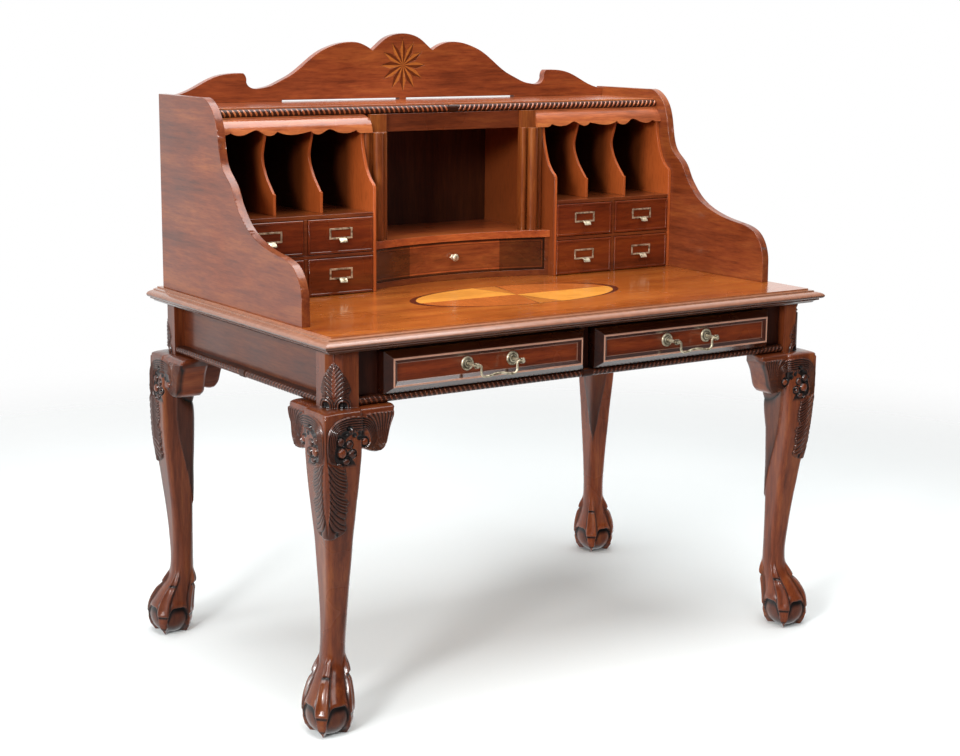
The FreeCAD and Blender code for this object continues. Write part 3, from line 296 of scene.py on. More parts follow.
def top_shade(place, base):
    """Moulded edge painted with highlight and shade, and a field with painted shade towards the
    rear and the right.
    """
    x, y, z = (axis(place, name) for name in "XYZ")
    past = calc("MAXIMUM", calc("SUBTRACT", from_middle(place), EDGE_X * MM),
                calc("SUBTRACT", EDGE_Y * MM, y))
    edge = remap(past, -1 * MM, 1 * MM)
    # Painted shade: the field darkens towards the rear and the right.
    base = times(base, band(y, ((-300, 1.1), (0, 0.95), (200, 0.62))))
    base = times(base, band(x, ((-400, 1.05), (200, 1.0), (620, 0.72))))
    # Painted light and shade on the moulded edge: shade at its foot, a dark line, and a pale
    # highlight over its upper half.
    wear_and_painted_light = ramp(remap(z, EDGE_LOW * MM, EDGE_HIGH * MM), EDGE_LIGHT_AND_SHADE)
    patchy = ramp(noise(place, 14 * MM), ((0.3, 0.8), (0.7, 1)))
    return mixed(edge, base, times(wear_and_painted_light, patchy))


def wide_shade(place, base):
    """Border darkened nearly black as painted shade, pale lines of painted highlight along the
    ridge, and a redder field.
    """
    deep = inside(place, *WIDE_PANEL)
    # Painted shade: the border and the slope inside the ridge are darkened nearly black.
    base = times(base, band(deep, ((0, 0.12), (12.5, 0.14), (18, 0.2), (23.5, 0.3),
                                   (25.5, 0.9), (40, 1.1))))
    # Painted highlights: pale lines along the ridge and a fainter one at the foot of its inner
    # slope.
    wear_and_painted_light = band(deep, ((12.5, 0), (13.8, 0.7), (16.2, 0.7), (17.5, 0), (22.5, 0),
                       (23.6, 0.35), (24.5, 0)))
    return mixed(wear_and_painted_light, base, paint("rubbed"))


def hole_shade(place, base):
    """Walls darkened towards the back of the pigeonholes as painted shadow, and the niche's walls
    darkened as painted shade.
    """
    y = axis(place, "Y")
    holes = remap(from_middle(place), *(x * MM for x in NICHE_X))
    # Painted shadow deep in the pigeonholes; painted shade over the niche's walls.
    deep = band(y, ((150, 1.0), (185, 0.3), (230, 0.12)))
    niche = band(y, ((70, 0.45), (100, 0.5), (200, 0.55)))
    return times(base, mixed(holes, niche, deep))


def centre_shade(place, base):
    """Lighter veneer in the middle, dark ends, and along the edges dark lines of painted shade
    round a pale painted highlight on the bead.
    """
    base = times(base, band(from_middle(place), (
        (0, 1.25), (118, 1.2), (119.5, 0.55), (170, 0.42), (224, 0.35))))
    # Painted shade in the gap and groove beside the cock bead, and a painted highlight on the bead.
    return times(base, band(inside(place, *CENTRE_PANEL), (
        (0, 0.25), (4, 0.25), (4.5, 1.6), (7.5, 1.6), (8, 0.3), (9.5, 1.0), (20, 1.0))))


# Middle of a wide drawer, reach of its rosettes to either side and their height.
ROSETTE_FROM, ROSETTE_REACH, ROSETTE_Z = 248.5 * MM, 53 * MM, 694 * MM


def painted_rosette_rings(place):
    """Turned rings round the middle of each rosette, painted as bright rings between dark grooves
    of painted shade.
    """
    x = calc("ABSOLUTE", calc("SUBTRACT", from_middle(place), ROSETTE_FROM))
    x = calc("POWER", calc("SUBTRACT", x, ROSETTE_REACH), 2.0)
    z = calc("SUBTRACT", axis(place, "Z"), ROSETTE_Z)
    out = calc("SQRT", calc("ADD", x, calc("POWER", z, 2.0)))
    return band(out, ((0, 1), (3.6, 1), (4.2, 0.12), (5.2, 0.2), (6, 1), (7.4, 1),
                      (8.2, 0.2), (9.8, 0.3), (10.6, 1), (14, 1)))


def brass(rings=False):
    """Pale lacquered brass, dulled with tarnish in random spots."""
    material, tree, place = blank_material("lacquered_brass")
    spots = noise(place, 9 * MM, 5.0)
    tint = ramp(spots, ((0.34, paint("brass_dull")), (0.56, paint("brass"))))
    # The rosettes' rings are painted light and painted shade, not modelled.
    if rings:
        tint = times(tint, painted_rosette_rings(place))
    bump = node(tree, "ShaderNodeBump", {"Strength": 0.2, "Distance": 0.2 * MM, "Height": spots})
    surface(tree, {"Base Color": tint, "Roughness": remap(spots, 0, 1, 0.5, 0.3),
                   "Normal": bump.outputs[0], "Metallic": 0.7})
    return material


def lining():
    """Sawn and planed drawer lining: dry, matt, straight grained."""
    return timber("planed_lining", "Y", [paint("lining", factor) for factor in (0.45, 0.8, 1)],
                  0.55, coat=0.0)


def veneer(name, key, grain="X", gloss=0.3):
    """Veneer under the top's polish: fine straight silk along one axis."""
    return timber(name, grain, [paint(key, factor) for factor in (0.72, 1, 1.12)], gloss,
                  coat=0.25)


# ------------------------------------------------------------------ objects
def shading_tree():
    """Smooth faces that keep edges sharper than 35 degrees."""
    found = bpy.data.node_groups.get("Smooth shading")
    if found:
        return found
    tree = bpy.data.node_groups.new("Smooth shading", "GeometryNodeTree")
    for way in ("INPUT", "OUTPUT"):
        tree.interface.new_socket("Mesh", in_out=way, socket_type="NodeSocketGeometry")
    kind = "GeometryNodeSetShadeSmooth"
    start = node(tree, "NodeGroupInput")
    smooth = node(tree, kind, {"Geometry": start.outputs[0]}, domain="FACE")
    angle = node(tree, "GeometryNodeInputMeshEdgeAngle")
    sharp = node(tree, "FunctionNodeCompare", {0: angle.outputs[0], 1: math.radians(35)},
                 data_type="FLOAT", operation="GREATER_THAN")
    hard = node(tree, kind, {"Geometry": smooth.outputs[0], "Selection": sharp.outputs[0],
                             "Shade Smooth": False}, domain="EDGE")
    node(tree, "NodeGroupOutput", {0: hard.outputs[0]})
    return tree


def modify(item, name, kind, **settings):
    made = item.modifiers.new(name, kind)
    for key, value in settings.items():
        setattr(made, key, value)


def dress(names, material, edge=None):
    """Gives CAD nodes a material, merged corners and slightly worn edges."""
    for name in names:
        item = NODES[name]
        item.data.materials.clear()
        item.data.materials.append(material)
        modify(item, "Weld", "WELD", merge_threshold=0.01 * MM)
        modify(item, "Merge flats", "DECIMATE", decimate_type="DISSOLVE",
               angle_limit=math.radians(0.5))
        modify(item, "Shade", "NODES", node_group=shading_tree())
        modify(item, "Worn edges", "BEVEL", width=edge or carving().edge, segments=2,
               limit_method="ANGLE", angle_limit=math.radians(40), harden_normals=True)


def simple_mesh(name, make, **sizes):
    """Mesh made by one bmesh operator."""
    work = bmesh.new()
    make(work, **sizes)
    mesh = bpy.data.meshes.new(name)
    work.to_mesh(mesh)
    work.free()
    return mesh


def add_object(name, mesh, *materials, slot="carved_mahogany"):
    """Puts a finished mesh in the scene, riding on the carcass."""
    item = bpy.data.objects.new(name, mesh)
    bpy.context.scene.collection.objects.link(item)
    for each in materials:
        mesh.materials.append(each)
    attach(item, "carcass")
    return item


# Timbers and what is made of them: name, grain, lightness, cast, gloss, coat, shade, nodes.
BOARDS = (
    ("mahogany_rails", "X", 0.8, PLAIN, 0.3, 0.7, None,
     ("bank_frames", "centre_base", "frieze_rail", "apron_back")),
    ("mahogany_sides", "Y", 0.98, PLAIN, 0.38, 0.6, None,
     ("gallery_side_left", "gallery_side_right")),
    # The aprons are dressed darker than the gallery's sides, as painted shade on the lower parts.
    ("mahogany_aprons", "Y", 0.5, PLAIN, 0.38, 0.45, None, ("apron_left", "apron_right")),
    ("mahogany_uprights", "Z", 1.05, GOLD, 0.3, 0.7, None, ("columns",)),
    ("mahogany_crest", "X", 1.25, PLAIN, 0.33, 0.7, None, ("crest_board",)),
    # The valances and the shelf are dressed pale pink as painted sheen, and the niche's floor
    # lighter as painted light.
    ("mahogany_valances", "X", 2.1, PAINTED_SHEEN_CAST, 0.3, 1.0, None, ("valances",)),
    ("mahogany_shelf", "X", 2.0, PAINTED_SHEEN_CAST, 0.3, 1.0, None, ("gallery_shelf",)),
    ("mahogany_bay", "X", 1.9, PLAIN, 0.3, 0.7, None, ("centre_shelf",)),
    # The back is dressed very dark, as painted shade at the back of the niche and the pigeonholes.
    ("mahogany_back", "Z", 0.25, PLAIN, 0.42, 0.2, None, ("gallery_back",)),
    ("mahogany_frame", "Z", 0.16, RED, 0.35, 0.3, None, ("front_frame",)),
)
FRONTS = (
    ("mahogany_drawer_fronts", "X", 0.8, RED, 0.26, 1.0, None,
     ["small_drawer_" + cell for cell in CELLS]),
    ("mahogany_wide_fronts", "X", 0.9, RED, 0.26, 1.0, wide_shade,
     ("wide_drawer_front_left", "wide_drawer_front_right")),
    ("mahogany_centre_drawer", "X", 1.0, PLAIN, 0.26, 1.0, centre_shade,
     ("centre_drawer_front",)),
)


def dress_in_mahogany(table):
    for name, grain, factor, cast, gloss, coat, shade, names in table:
        dress(names, timber(name, grain, tones(factor, cast), gloss, coat, shade))


class TABLE_OT_boards(bpy.types.Operator):
    """Give every plain board its timber, polish and worn edges"""
    bl_idname = "table.boards"
    bl_label = "Boards"

    def execute(self, context):
        dress_in_mahogany(BOARDS)
        dress(["writing_top"], timber("faded_mahogany_top", "X", tones(0.92, wood="top"), 0.25,
                                      0.8, top_shade))
        dress(["side_liners", "partitions", "pigeonhole_dividers"],
              timber("pale_pigeonholes", "Z", [paint("pale_wood", 1.0, TAN)] * 3, 0.42, 0.2,
                     hole_shade))
        dress(["drawer_runners"], lining())
        return {"FINISHED"}


class TABLE_OT_drawers(bpy.types.Operator):
    """Give the drawers their show fronts and plain linings"""
    bl_idname = "table.drawers"
    bl_label = "Drawers"

    def execute(self, context):
        dress_in_mahogany(FRONTS)
        dress(["wide_drawer_box_left", "wide_drawer_box_right", "centre_drawer_box"], lining())
        return {"FINISHED"}


# ------------------------------------------------------------------ carving
# Sizes from here to the end of the inlay are in millimetres; meshes are made in metres.

# How much lighter or darker each leg is painted, as painted light and shade.
LEG_PAINTED_LIGHT = {("front", "left"): 0.72, ("rear", "left"): 0.66, ("front", "right"): 0.95,
             ("rear", "right"): 1.7}
TOP_SHIFT = -7.4    # from the frame's origin to the middle of the writing top
# Feet and posts, out from that middle; -1 is the front and 1 the rear.
FOOT_X, FOOT_Y = 594, {-1: 335, 1: 372}
POST_X, POST_Y = 594, {-1: 357.6, 1: 372.5}
POST_HALF, POST_CHAMFER = 29, 24.6
KNEE_Z, CAP_Z, TOP_Z = 625, 633, 740
BALL_R, BALL_Z = 43.5, 41.5
FOOT_R, FOOT_TOP = 50, 165
# How far the knees stand out past the feet, and how much narrower than in the table below
# the rear legs get from one height up, and how much wider the front ones between two.
LEAN = {-1: np.array((-3.3, 12.6)), 1: np.zeros(2)}
SLIM, SLIM_FROM = 7, 380
STOUT, STOUT_FROM, STOUT_TO = 7.6, 455, 545

# For each ear, by (across the front, end): length and how far it stands out.
EARS = {(True, -1): (70, 13), (True, 1): (72, 7),
        (False, -1): (70, 20.5), (False, 1): (74, 20.5)}
EAR_BACK = 40

# Height, inset of the axis along the leg's diagonal, half width, corner radius
# and share of the front knee's lean, from the floor up to the knee.
LEG = np.array([
    (0, 0, 36.0, 35.4, 0), (14, 0, 44.5, 43.9, 0), (32, 0, 49.5, 48.9, 0),
    (50, 1, 50.0, 49.4, 0), (70, 4, 48.2, 47.6, 0), (88, 9.5, 43.7, 43.1, 0),
    (105, 17, 37.0, 36.4, 0), (122, 24.5, 30.0, 29.4, 0.03), (140, 28.8, 25.8, 25.2, 0.08),
    (160, 30, 24.6, 24.0, 0.15), (230, 29.2, 23.8, 17, 0.45), (290, 26.6, 25.3, 13, 0.6),
    (340, 23.6, 27.8, 12, 0.75), (380, 20.8, 29.8, 12, 0.85), (420, 17.4, 32.6, 11, 0.95),
    (460, 14.6, 35.2, 10, 1), (500, 13, 36.4, 9, 1), (545, 12, 37.2, 9, 1),
    (590, 12, 37.5, 9, 1), (KNEE_Z, 12, 37.5, 9, 1),
])


def flow(at, xs, ys):
    """Smooth curve through the points (xs, ys)."""
    xs, ys = np.asarray(xs, float), np.asarray(ys, float)
    slopes = np.gradient(ys, xs)
    i = np.clip(np.searchsorted(xs, at, side="right") - 1, 0, len(xs) - 2)
    step = xs[i + 1] - xs[i]
    t = np.clip((at - xs[i]) / step, 0, 1)
    return ((1 + 2 * t) * (1 - t) ** 2 * ys[i] + t * (1 - t) ** 2 * step * slopes[i]
            + t * t * (3 - 2 * t) * ys[i + 1] + t * t * (t - 1) * step * slopes[i + 1])


def ease(value, low, high):
    """0 below low, 1 above high, smooth between."""
    t = np.clip((value - low) / (high - low), 0, 1)
    return t * t * (3 - 2 * t)


def bell(gap, width):
    """1 where the gap is nothing, falling off smoothly to both sides."""
    return np.exp(-(gap / width) ** 2)


LEAST = 0.02    # share of its full height below which carving counts as absent


def laid(where, new, old):
    """New (height, hollow) where something lies, the old elsewhere."""
    return [np.where(where, over, under) for over, under in zip(new, old)]


def strokes(phase, wide, second, share, second_wide):
    """Hollows between carved strokes, one each phase, with weaker ones along their middles."""
    near = np.abs((phase + 0.5) % 1 - 0.5)
    return np.maximum(bell(0.5 - near, wide), share * bell(near, second_wide) * second)


def ridges(distance, pitch):
    """Ridges, one every pitch; 0 in a valley, 1 on a crest."""
    return np.cos(np.pi * distance / pitch) ** 2


def rounded_square(share, half, radius):
    """Points at shares of the outline of a rounded square, from its (+, +) corner."""
    quarter = np.floor(share * 4 + 1e-9).astype(int) % 4
    flat = half - radius
    bend = np.pi * radius / 4
    run = 2 * flat + 2 * bend
    t = (share * 4 - np.floor(share * 4 + 1e-9)) * run
    first = np.pi / 4 + np.where(t < bend, t / np.maximum(radius, 1e-9), 0)
    last = np.pi / 2 + np.where(t > run - bend, (t - run + bend) / np.maximum(radius, 1e-9), 0)
    on_first, on_last = t < bend, t > run - bend
    angle = np.where(on_first, first, np.where(on_last, last, np.pi / 2))
    x = np.where(on_first, flat, np.where(on_last, -flat, flat - (t - bend)))
    x = x + np.where(on_first | on_last, radius * np.cos(angle), 0)
    y = flat + radius * np.sin(angle)
    cos, sin = np.array([1, 0, -1, 0])[quarter], np.array([0, 1, 0, -1])[quarter]
    normal = np.stack([np.cos(angle), np.sin(angle)], -1)
    turned = np.stack([normal[..., 0] * cos - normal[..., 1] * sin,
                       normal[..., 0] * sin + normal[..., 1] * cos], -1)
    return np.stack([x * cos - y * sin, x * sin + y * cos], -1), turned, 4 * run


def spread(points, share):
    """Points at shares of a closed outline's length, with outward normals."""
    points = np.asarray(points + points[:1], float)
    sides = np.diff(points, axis=0)
    lengths = np.hypot(*sides.T)
    total = lengths.sum()
    ends = np.concatenate([[0], np.cumsum(lengths)])
    place = share * total
    i = np.clip(np.searchsorted(ends, place, side="right") - 1, 0, len(sides) - 1)
    t = (place - ends[i]) / lengths[i]
    unit = sides[i] / lengths[i][:, None]
    return points[i] + sides[i] * t[:, None], np.stack([unit[:, 1], -unit[:, 0]], -1), total


def near_path(points, s, z):
    """Distance to a path, side of it (positive to the right) and share of its length."""
    points = np.asarray(points, float)
    index = np.arange(len(points))
    fine = np.linspace(0, len(points) - 1, 6 * len(points))
    path = np.stack([flow(fine, index, points[:, 0]), flow(fine, index, points[:, 1])], -1)
    best = np.full(s.shape, 1e9)
    side, share = np.zeros(s.shape), np.zeros(s.shape)
    total = len(path) - 1
    for k, (a, b) in enumerate(zip(path[:-1], path[1:])):
        ab = b - a
        t = np.clip(((s - a[0]) * ab[0] + (z - a[1]) * ab[1]) / (ab @ ab), 0, 1)
        ds, dz = s - a[0] - t * ab[0], z - a[1] - t * ab[1]
        gap = np.hypot(ds, dz)
        closer = gap < best
        best = np.where(closer, gap, best)
        side = np.where(closer, np.sign(ab[1] * ds - ab[0] * dz), side)
        share = np.where(closer, (k + t) / total, share)
    return best, side, share


# The knee's scroll: (distance from the leg's ridge, height), from under the
# boss up along the ridge, over the knee and round the volute of the ear.
SCROLL = np.array([
    (26.7, 525.4), (15.5, 530.3), (8, 541.3), (4.6, 554.6), (4.2, 568.6), (4.6, 581.3),
    (7, 593.7), (13, 604.6), (23.4, 613.0), (37.9, 617.6), (53.8, 619.6), (69.7, 619.0),
    (84, 616.6), (96.7, 611.8), (105.5, 602.8), (110.3, 590.3), (112.3, 577.2), (110.3, 564.4),
    (103.4, 556.6), (93.5, 555.3), (84.5, 559), (79.6, 567.2),
])
EAR_EDGE = np.array([
    (152, 626), (151.7, 613.6), (146.8, 601.2), (141.8, 588.7), (138, 574), (134.3, 561.4),
    (128.1, 552.4), (118.1, 548.7), (107, 549.7), (94, 554),
])
EYE = np.array((88, 569))

# Lumps carved inside the scroll: place, radii, height and how dark they lie; the sunk ones lie
# nearly black as painted shade.
LUMPS = (
    ((49, 600), (6.5, 5), -3.75, 1.0), ((42, 590.5), (7.5, 5), -2.25, 0.9),
    ((72, 580), (6, 5), -2.25, 1.0), ((61, 585.5), (5, 4.5), -2.25, 0.9),
    ((31.5, 574.8), (9, 9), 4.5, 0.5), ((50, 568.4), (8, 8), 3.9, 0.5),
    ((56, 550.1), (9.5, 8.8), 4.2, 0.5), ((60, 551), (3, 3), -1.5, 1.0),
    ((43, 536.5), (8.5, 6.5), 3.6, 0.5), ((28, 531), (6.5, 5), 3.0, 0.5),
    ((34, 553.7), (10.5, 11), 5.7, 0.0),
)


def knee_carving(s, z):
    """Height of the knee's carving above the leg and how dark it is painted, with wax and painted
    shade in its hollows.

    s is the distance from the leg's outer ridge along either face."""
    sizes = carving()
    deep, pitch = sizes.scroll_deep / MM, sizes.leaf_pitch / MM
    gap, side, share = near_path(SCROLL, s, z)
    inner = gap * side
    reach = flow(share, (0, 0.1, 0.19, 0.38, 0.48, 0.57, 0.67, 0.76, 0.86, 1),
                 (6, 10, 17, 20, 24, 23, 17, 13, 9.5, 5))
    # Ground sunk inside the scroll, darkened as painted shade.
    far = 1 - ease(s, 66, 72) * (1 - ease(z, 558, 568))
    ground = ease(inner, 0, 3) * ease(z, 522, 532) * far
    ground = ground * (1 - ease(s, 84, 92))
    high, cut = -3.0 * ground, 0.85 * ground
    # Leaf teeth that hang from the scroll's inner edge.
    teeth = ridges(share, 0.024) * ease(share, 0.30, 0.36) * (1 - ease(share, 0.66, 0.72))
    teeth = teeth * (inner > 0) * (1 - ease(inner, reach + 3, reach + 9))
    high = np.maximum(high, 2.2 * teeth)
    cut = cut * (1 - 0.75 * teeth)
    # Parallel lines of the scroll itself.
    lines = ridges(inner / reach, 1 / sizes.scroll_lines)
    strip = ease(inner, -1.6, 0) * (1 - ease(inner, reach - 1, reach + 0.6))
    high, cut = laid(strip > LEAST, (strip * deep * (0.3 + 0.7 * lines),
                                     strip * (0.3 + 0.7 * (1 - lines) ** 1.2)), (high, cut))
    # Painted shade in a dark line along the scroll's outer edge.
    cut = np.maximum(cut, 0.55 * bell(inner + 2.2, 0.9) * (s < 60))
    # Boss, buds and curls, each in a dark outline of painted shade.
    for place, radii, rise, dark in LUMPS:
        round_ = np.hypot((s - place[0]) / radii[0], (z - place[1]) / radii[1])
        dome = np.sqrt(np.clip(1 - (round_ / 0.85) ** 2, 0, 1))
        high, cut = laid(round_ < 1.08, (rise * dome - (0 if rise < 0 else 2) * (dome <= 0),
                                         dark + (0.95 - dark) * ease(round_, 0.72, 0.9)),
                         (high, cut))
    # Eye of the volute in its groove, the groove darkened as painted shade.
    eye = np.hypot(s - EYE[0], z - EYE[1])
    ball = np.sqrt(np.clip(1 - (eye / 6.8) ** 2, 0, 1))
    high, cut = laid(eye < 10.5, (4.2 * ball - 1.4 * (ball <= 0), ease(eye, 5.6, 7.4)),
                     (high, cut))
    # Fluted leaf that turns over the end of the ear.
    edge_gap = near_path(EAR_EDGE, s, z)[0]
    outer = np.clip(-inner, 0, None)
    across = outer / (outer + edge_gap + 1e-3)
    leaf = (inner < 0) * (s > 92) * (z < 621) * ease(outer, 0.6, 1.6)
    flutes = np.abs(np.cos(np.pi * 7.5 * across)) ** 0.8
    high, cut = laid(leaf > LEAST, (leaf * deep * (0.2 + 0.85 * flutes),
                                   leaf * (0.35 + 0.65 * (1 - flutes) ** 1.1)), (high, cut))
    # Drop of leaves down the ridge: strokes that leave the rib steeply and
    # flatten outwards, fanned into five lobes at the bottom.
    root = 448
    sweep = 48 * (1 - np.exp(-s / 16))
    phase = (z + sweep) / pitch
    fallen = np.clip((root - z) / 48, 1e-3, 0.985)
    fan = root / pitch - 2 * (1 - s / (-16 * np.log(1 - fallen)))
    phase = np.where((z < root) & (z + sweep < root), fan, phase)
    valley = strokes(phase, 0.13, ease(s, 13, 20) * (z > 440), 0.85, 0.10)
    width = flow(z, (386, 390, 396, 405, 415, 431, 438, 450, 457, 464, 470, 477, 486, 500, 512,
                     524, 534),
                 (0.5, 15, 29, 36, 35, 36, 40, 39.5, 44, 40, 34, 39, 42, 42, 40, 38, 30))
    width = width + 2.6 * (0.5 - valley) * ease(z, 400, 410)
    drop = ease(width - s, -0.4, 1.6) * ease(z, 385, 390)
    drop = drop * (1 - ease(z + 0.35 * s, 534, 541))
    rise = drop * sizes.leaf_deep / MM * (0.25 + 0.75 * (1 - valley) * (1 - 0.3 * ease(s, 0, 40)))
    high, cut = laid(drop > LEAST, (rise, drop * np.maximum(valley, 0.45)), (high, cut))
    # Painted shade in a dark outline round the drop.
    cut = np.maximum(cut, 0.85 * bell(s - width - 0.6, 1.3) * ease(z, 384, 390) * (z < 524))
    # Smooth rib on the ridge.
    ribbed = flow(z, (396, 408, 425, 445, 470, 505, 525, 545, 600, 640),
                  (0.2, 0.9, 2.4, 4.4, 5.4, 5.2, 4.0, 2.3, 2.0, 3.0))
    rib = (1 - ease(s, ribbed - 0.8, ribbed + 0.8)) * ease(z, 392, 400)
    high = high * (1 - rib) + 2.3 * rib
    cut = cut * (1 - rib)
    # Painted shade in dark grooves beside the rib.
    beside = bell(s - ribbed - 0.9, 0.9) * ease(z, 400, 425)
    cut = np.maximum(cut, 0.85 * beside * (1 - ease(z, 596, 608)))
    # Plain band along the knee's top edge.
    plain = ease(z, 620, 622.5)
    return high * (1 - plain), np.clip(cut, 0, 1) * (1 - plain)


SPRAY_PITCH, SPRAY_DEEP = 8.6, 3.8


def post_spray(s, z):
    """Upright spray of leaves on the post's cut corner, over two small arches."""
    width = flow(z, (640, 650, 657, 664, 676, 688, 698, 708, 718),
                 (24, 29, 27, 32, 29, 23, 16, 9, 0.2))
    sweep = 26 * (1 - np.exp(-s / 15))
    valley = strokes((z - sweep) / SPRAY_PITCH, 0.17, ease(s, 9, 15), 0.8, 0.13)
    width = width + 2.2 * (0.5 - valley)
    leaf = ease(width - s, -0.3, 1.4) * ease(z, 650, 654)
    high = leaf * SPRAY_DEEP * (0.15 + 0.85 * (1 - valley))
    cut = leaf * np.maximum(valley, 0.4)
    ribbed = flow(z, (650, 670, 690, 712), (2.6, 3.8, 3.6, 0.6))
    rib = (1 - ease(s, ribbed - 0.8, ribbed + 0.8)) * leaf
    high, cut = np.maximum(high, rib * 2.8), cut * (1 - rib)
    # Painted shade in a dark outline round the spray.
    cut = np.maximum(cut, 0.8 * bell(s - width - 0.4, 1.1) * (z > 652) * (z < 716))
    # Two arches at its foot, each over a hole darkened as painted shade.
    arch = np.hypot((s - 17) / 17, (z - 636) / 19)
    strip, grooves = ease(1.02 - arch, 0, 0.08), ridges(arch, 0.3)
    high, cut = laid(arch < 1.05, (strip * 4 * (0.4 + 0.6 * grooves),
                                   strip * (0.25 + 0.7 * (1 - grooves)) + (1 - strip) * 0.9),
                     (high, cut))
    hole = 1 - ease(arch, 0.38, 0.5)
    high = high * (1 - hole) - 3 * hole
    return high, np.clip(np.maximum(cut, hole), 0, 1)


# Creases across a toe: height, half width and how dark, the dark being painted shade.
CREASES = ((40.8, 2.2, 1.0), (111, 3.0, 1.0), (13, 2.5, 0.8))
# Claw foot from the floor up: height, radius over a toe, half the toe's width, and how far
# the web between the toes lies in.
CLAW = np.array([
    (0, 5, 2, 0), (9, 22, 5, 0), (12, 32, 7, 0), (14, 38.5, 8.4, 0.2), (17, 42.5, 9.4, 0.6),
    (22, 46, 10.2, 1), (30, 48.6, 11, 1.6), (36, 48, 11.8, 2), (39, 46, 12.4, 2.2),
    (41.5, 44.6, 13, 2.4), (44.5, 49.4, 13.8, 2.8), (52, 51.6, 14.6, 4), (64, 51.4, 14.6, 5.6),
    (78, 49.6, 14.2, 6.6), (90, 47, 13.8, 6.6), (99, 44.4, 13.4, 6), (105, 41.5, 13, 5.4),
    (108.5, 38.2, 12.8, 5), (111.5, 36.4, 12.6, 4.6), (115, 38.6, 12.6, 4.2),
    (121, 37.8, 12.2, 3.2), (130, 34.2, 11.8, 2), (142, 29.8, 10.5, 0.8), (158, 25.6, 9, 0),
])


def foot_radius(turn, z, half, ball):
    """Radius of the claw-and-ball foot and how dark it is painted, all of it painted shade.

    turn is the distance from the nearest toe's middle, round a foot of radius FOOT_R."""
    toe, wide, sunk = (flow(z, CLAW[:, 0], CLAW[:, k]) for k in (1, 2, 3))
    web = half - sunk
    # Opening between two claws, with a thick lip over it.
    span = FOOT_R * np.pi / 4
    away = np.clip((span - turn) / np.maximum(span - wide, 1), 0, 2)
    opening = (away ** 5 + (z / 61) ** 5) ** 0.2
    edge = (opening - 1) * 26
    shell = ease(edge, -0.4, 1.0)
    web = web + 1.6 * bell(edge - 3, 3) * ease(z, 30, 50)
    t = np.clip(turn / wide, 0, 1)
    flat_top = 1 - 0.10 * np.clip(1 - (t / 0.72) ** 2, 0, 1) * ease(z, 44, 60)
    pad = np.clip(1 - t ** 5, 0, 1) ** 0.7
    outer = web + (np.maximum(toe, web) * flat_top - web) * pad
    radius = ball + (np.maximum(outer, ball) - ball) * shell
    # Painted shadow on the ball under each claw's lip, and painted shade in the grooves beside the
    # toes.
    shade = bell(edge, 6.5) * (edge < 0.4) * ease(z, 8, 40)
    groove = bell(turn - wide - 1.0, 2.4) * shell * (z > 40)
    cut = np.maximum(shade, 0.7 * groove * (1 - ease(z, 104, 140)))
    # Painted shade over the ball between the claws, darkest near the floor.
    cut = np.maximum(cut, (1 - shell) * (0.35 + 0.5 * (1 - ease(z, 2, 26))))
    for crease, tall, deep in CREASES:
        cut = np.maximum(cut, deep * bell(z - crease, tall) * (t < 0.86) * shell)
    return radius, np.clip(cut, 0, 1)


def tube(name, points, hollow, flip):
    """Closed mesh through a stack of loops (loops, around, 3), capped at both ends.

    hollow says how dark each point is painted, with wax and painted shade in the carving; flip
    turns the faces over."""
    rows, around = points.shape[:2]
    index = np.arange(rows * around).reshape(rows, around)
    after = np.roll(index, -1, axis=1)
    faces = np.stack([index[:-1], after[:-1], after[1:], index[1:]], -1).reshape(-1, 4)
    faces = faces.tolist() + [index[0][::-1].tolist(), index[-1].tolist()]
    if flip:
        faces = [face[::-1] for face in faces]
    mesh = bpy.data.meshes.new(name)
    mesh.from_pydata((points.reshape(-1, 3) * MM).tolist(), [], faces)
    layer = mesh.attributes.new("hollow", "FLOAT", "POINT")
    layer.data.foreach_set("value", hollow.reshape(-1).astype(np.float32))
    mesh.shade_smooth()
    mesh.update()
    return mesh


# Heights of the leg's loops, close together where it is carved.
HEIGHTS = np.concatenate([
    np.arange(0, 126, 1.4), np.arange(126, FOOT_TOP, 3), np.arange(FOOT_TOP, 382, 8),
    np.arange(382, 530, 1.4), np.arange(530, 625.1, 1.18), [KNEE_Z]])
POST_HEIGHTS = np.concatenate([np.arange(CAP_Z, 722, 1.8), (726, 733, TOP_Z)])


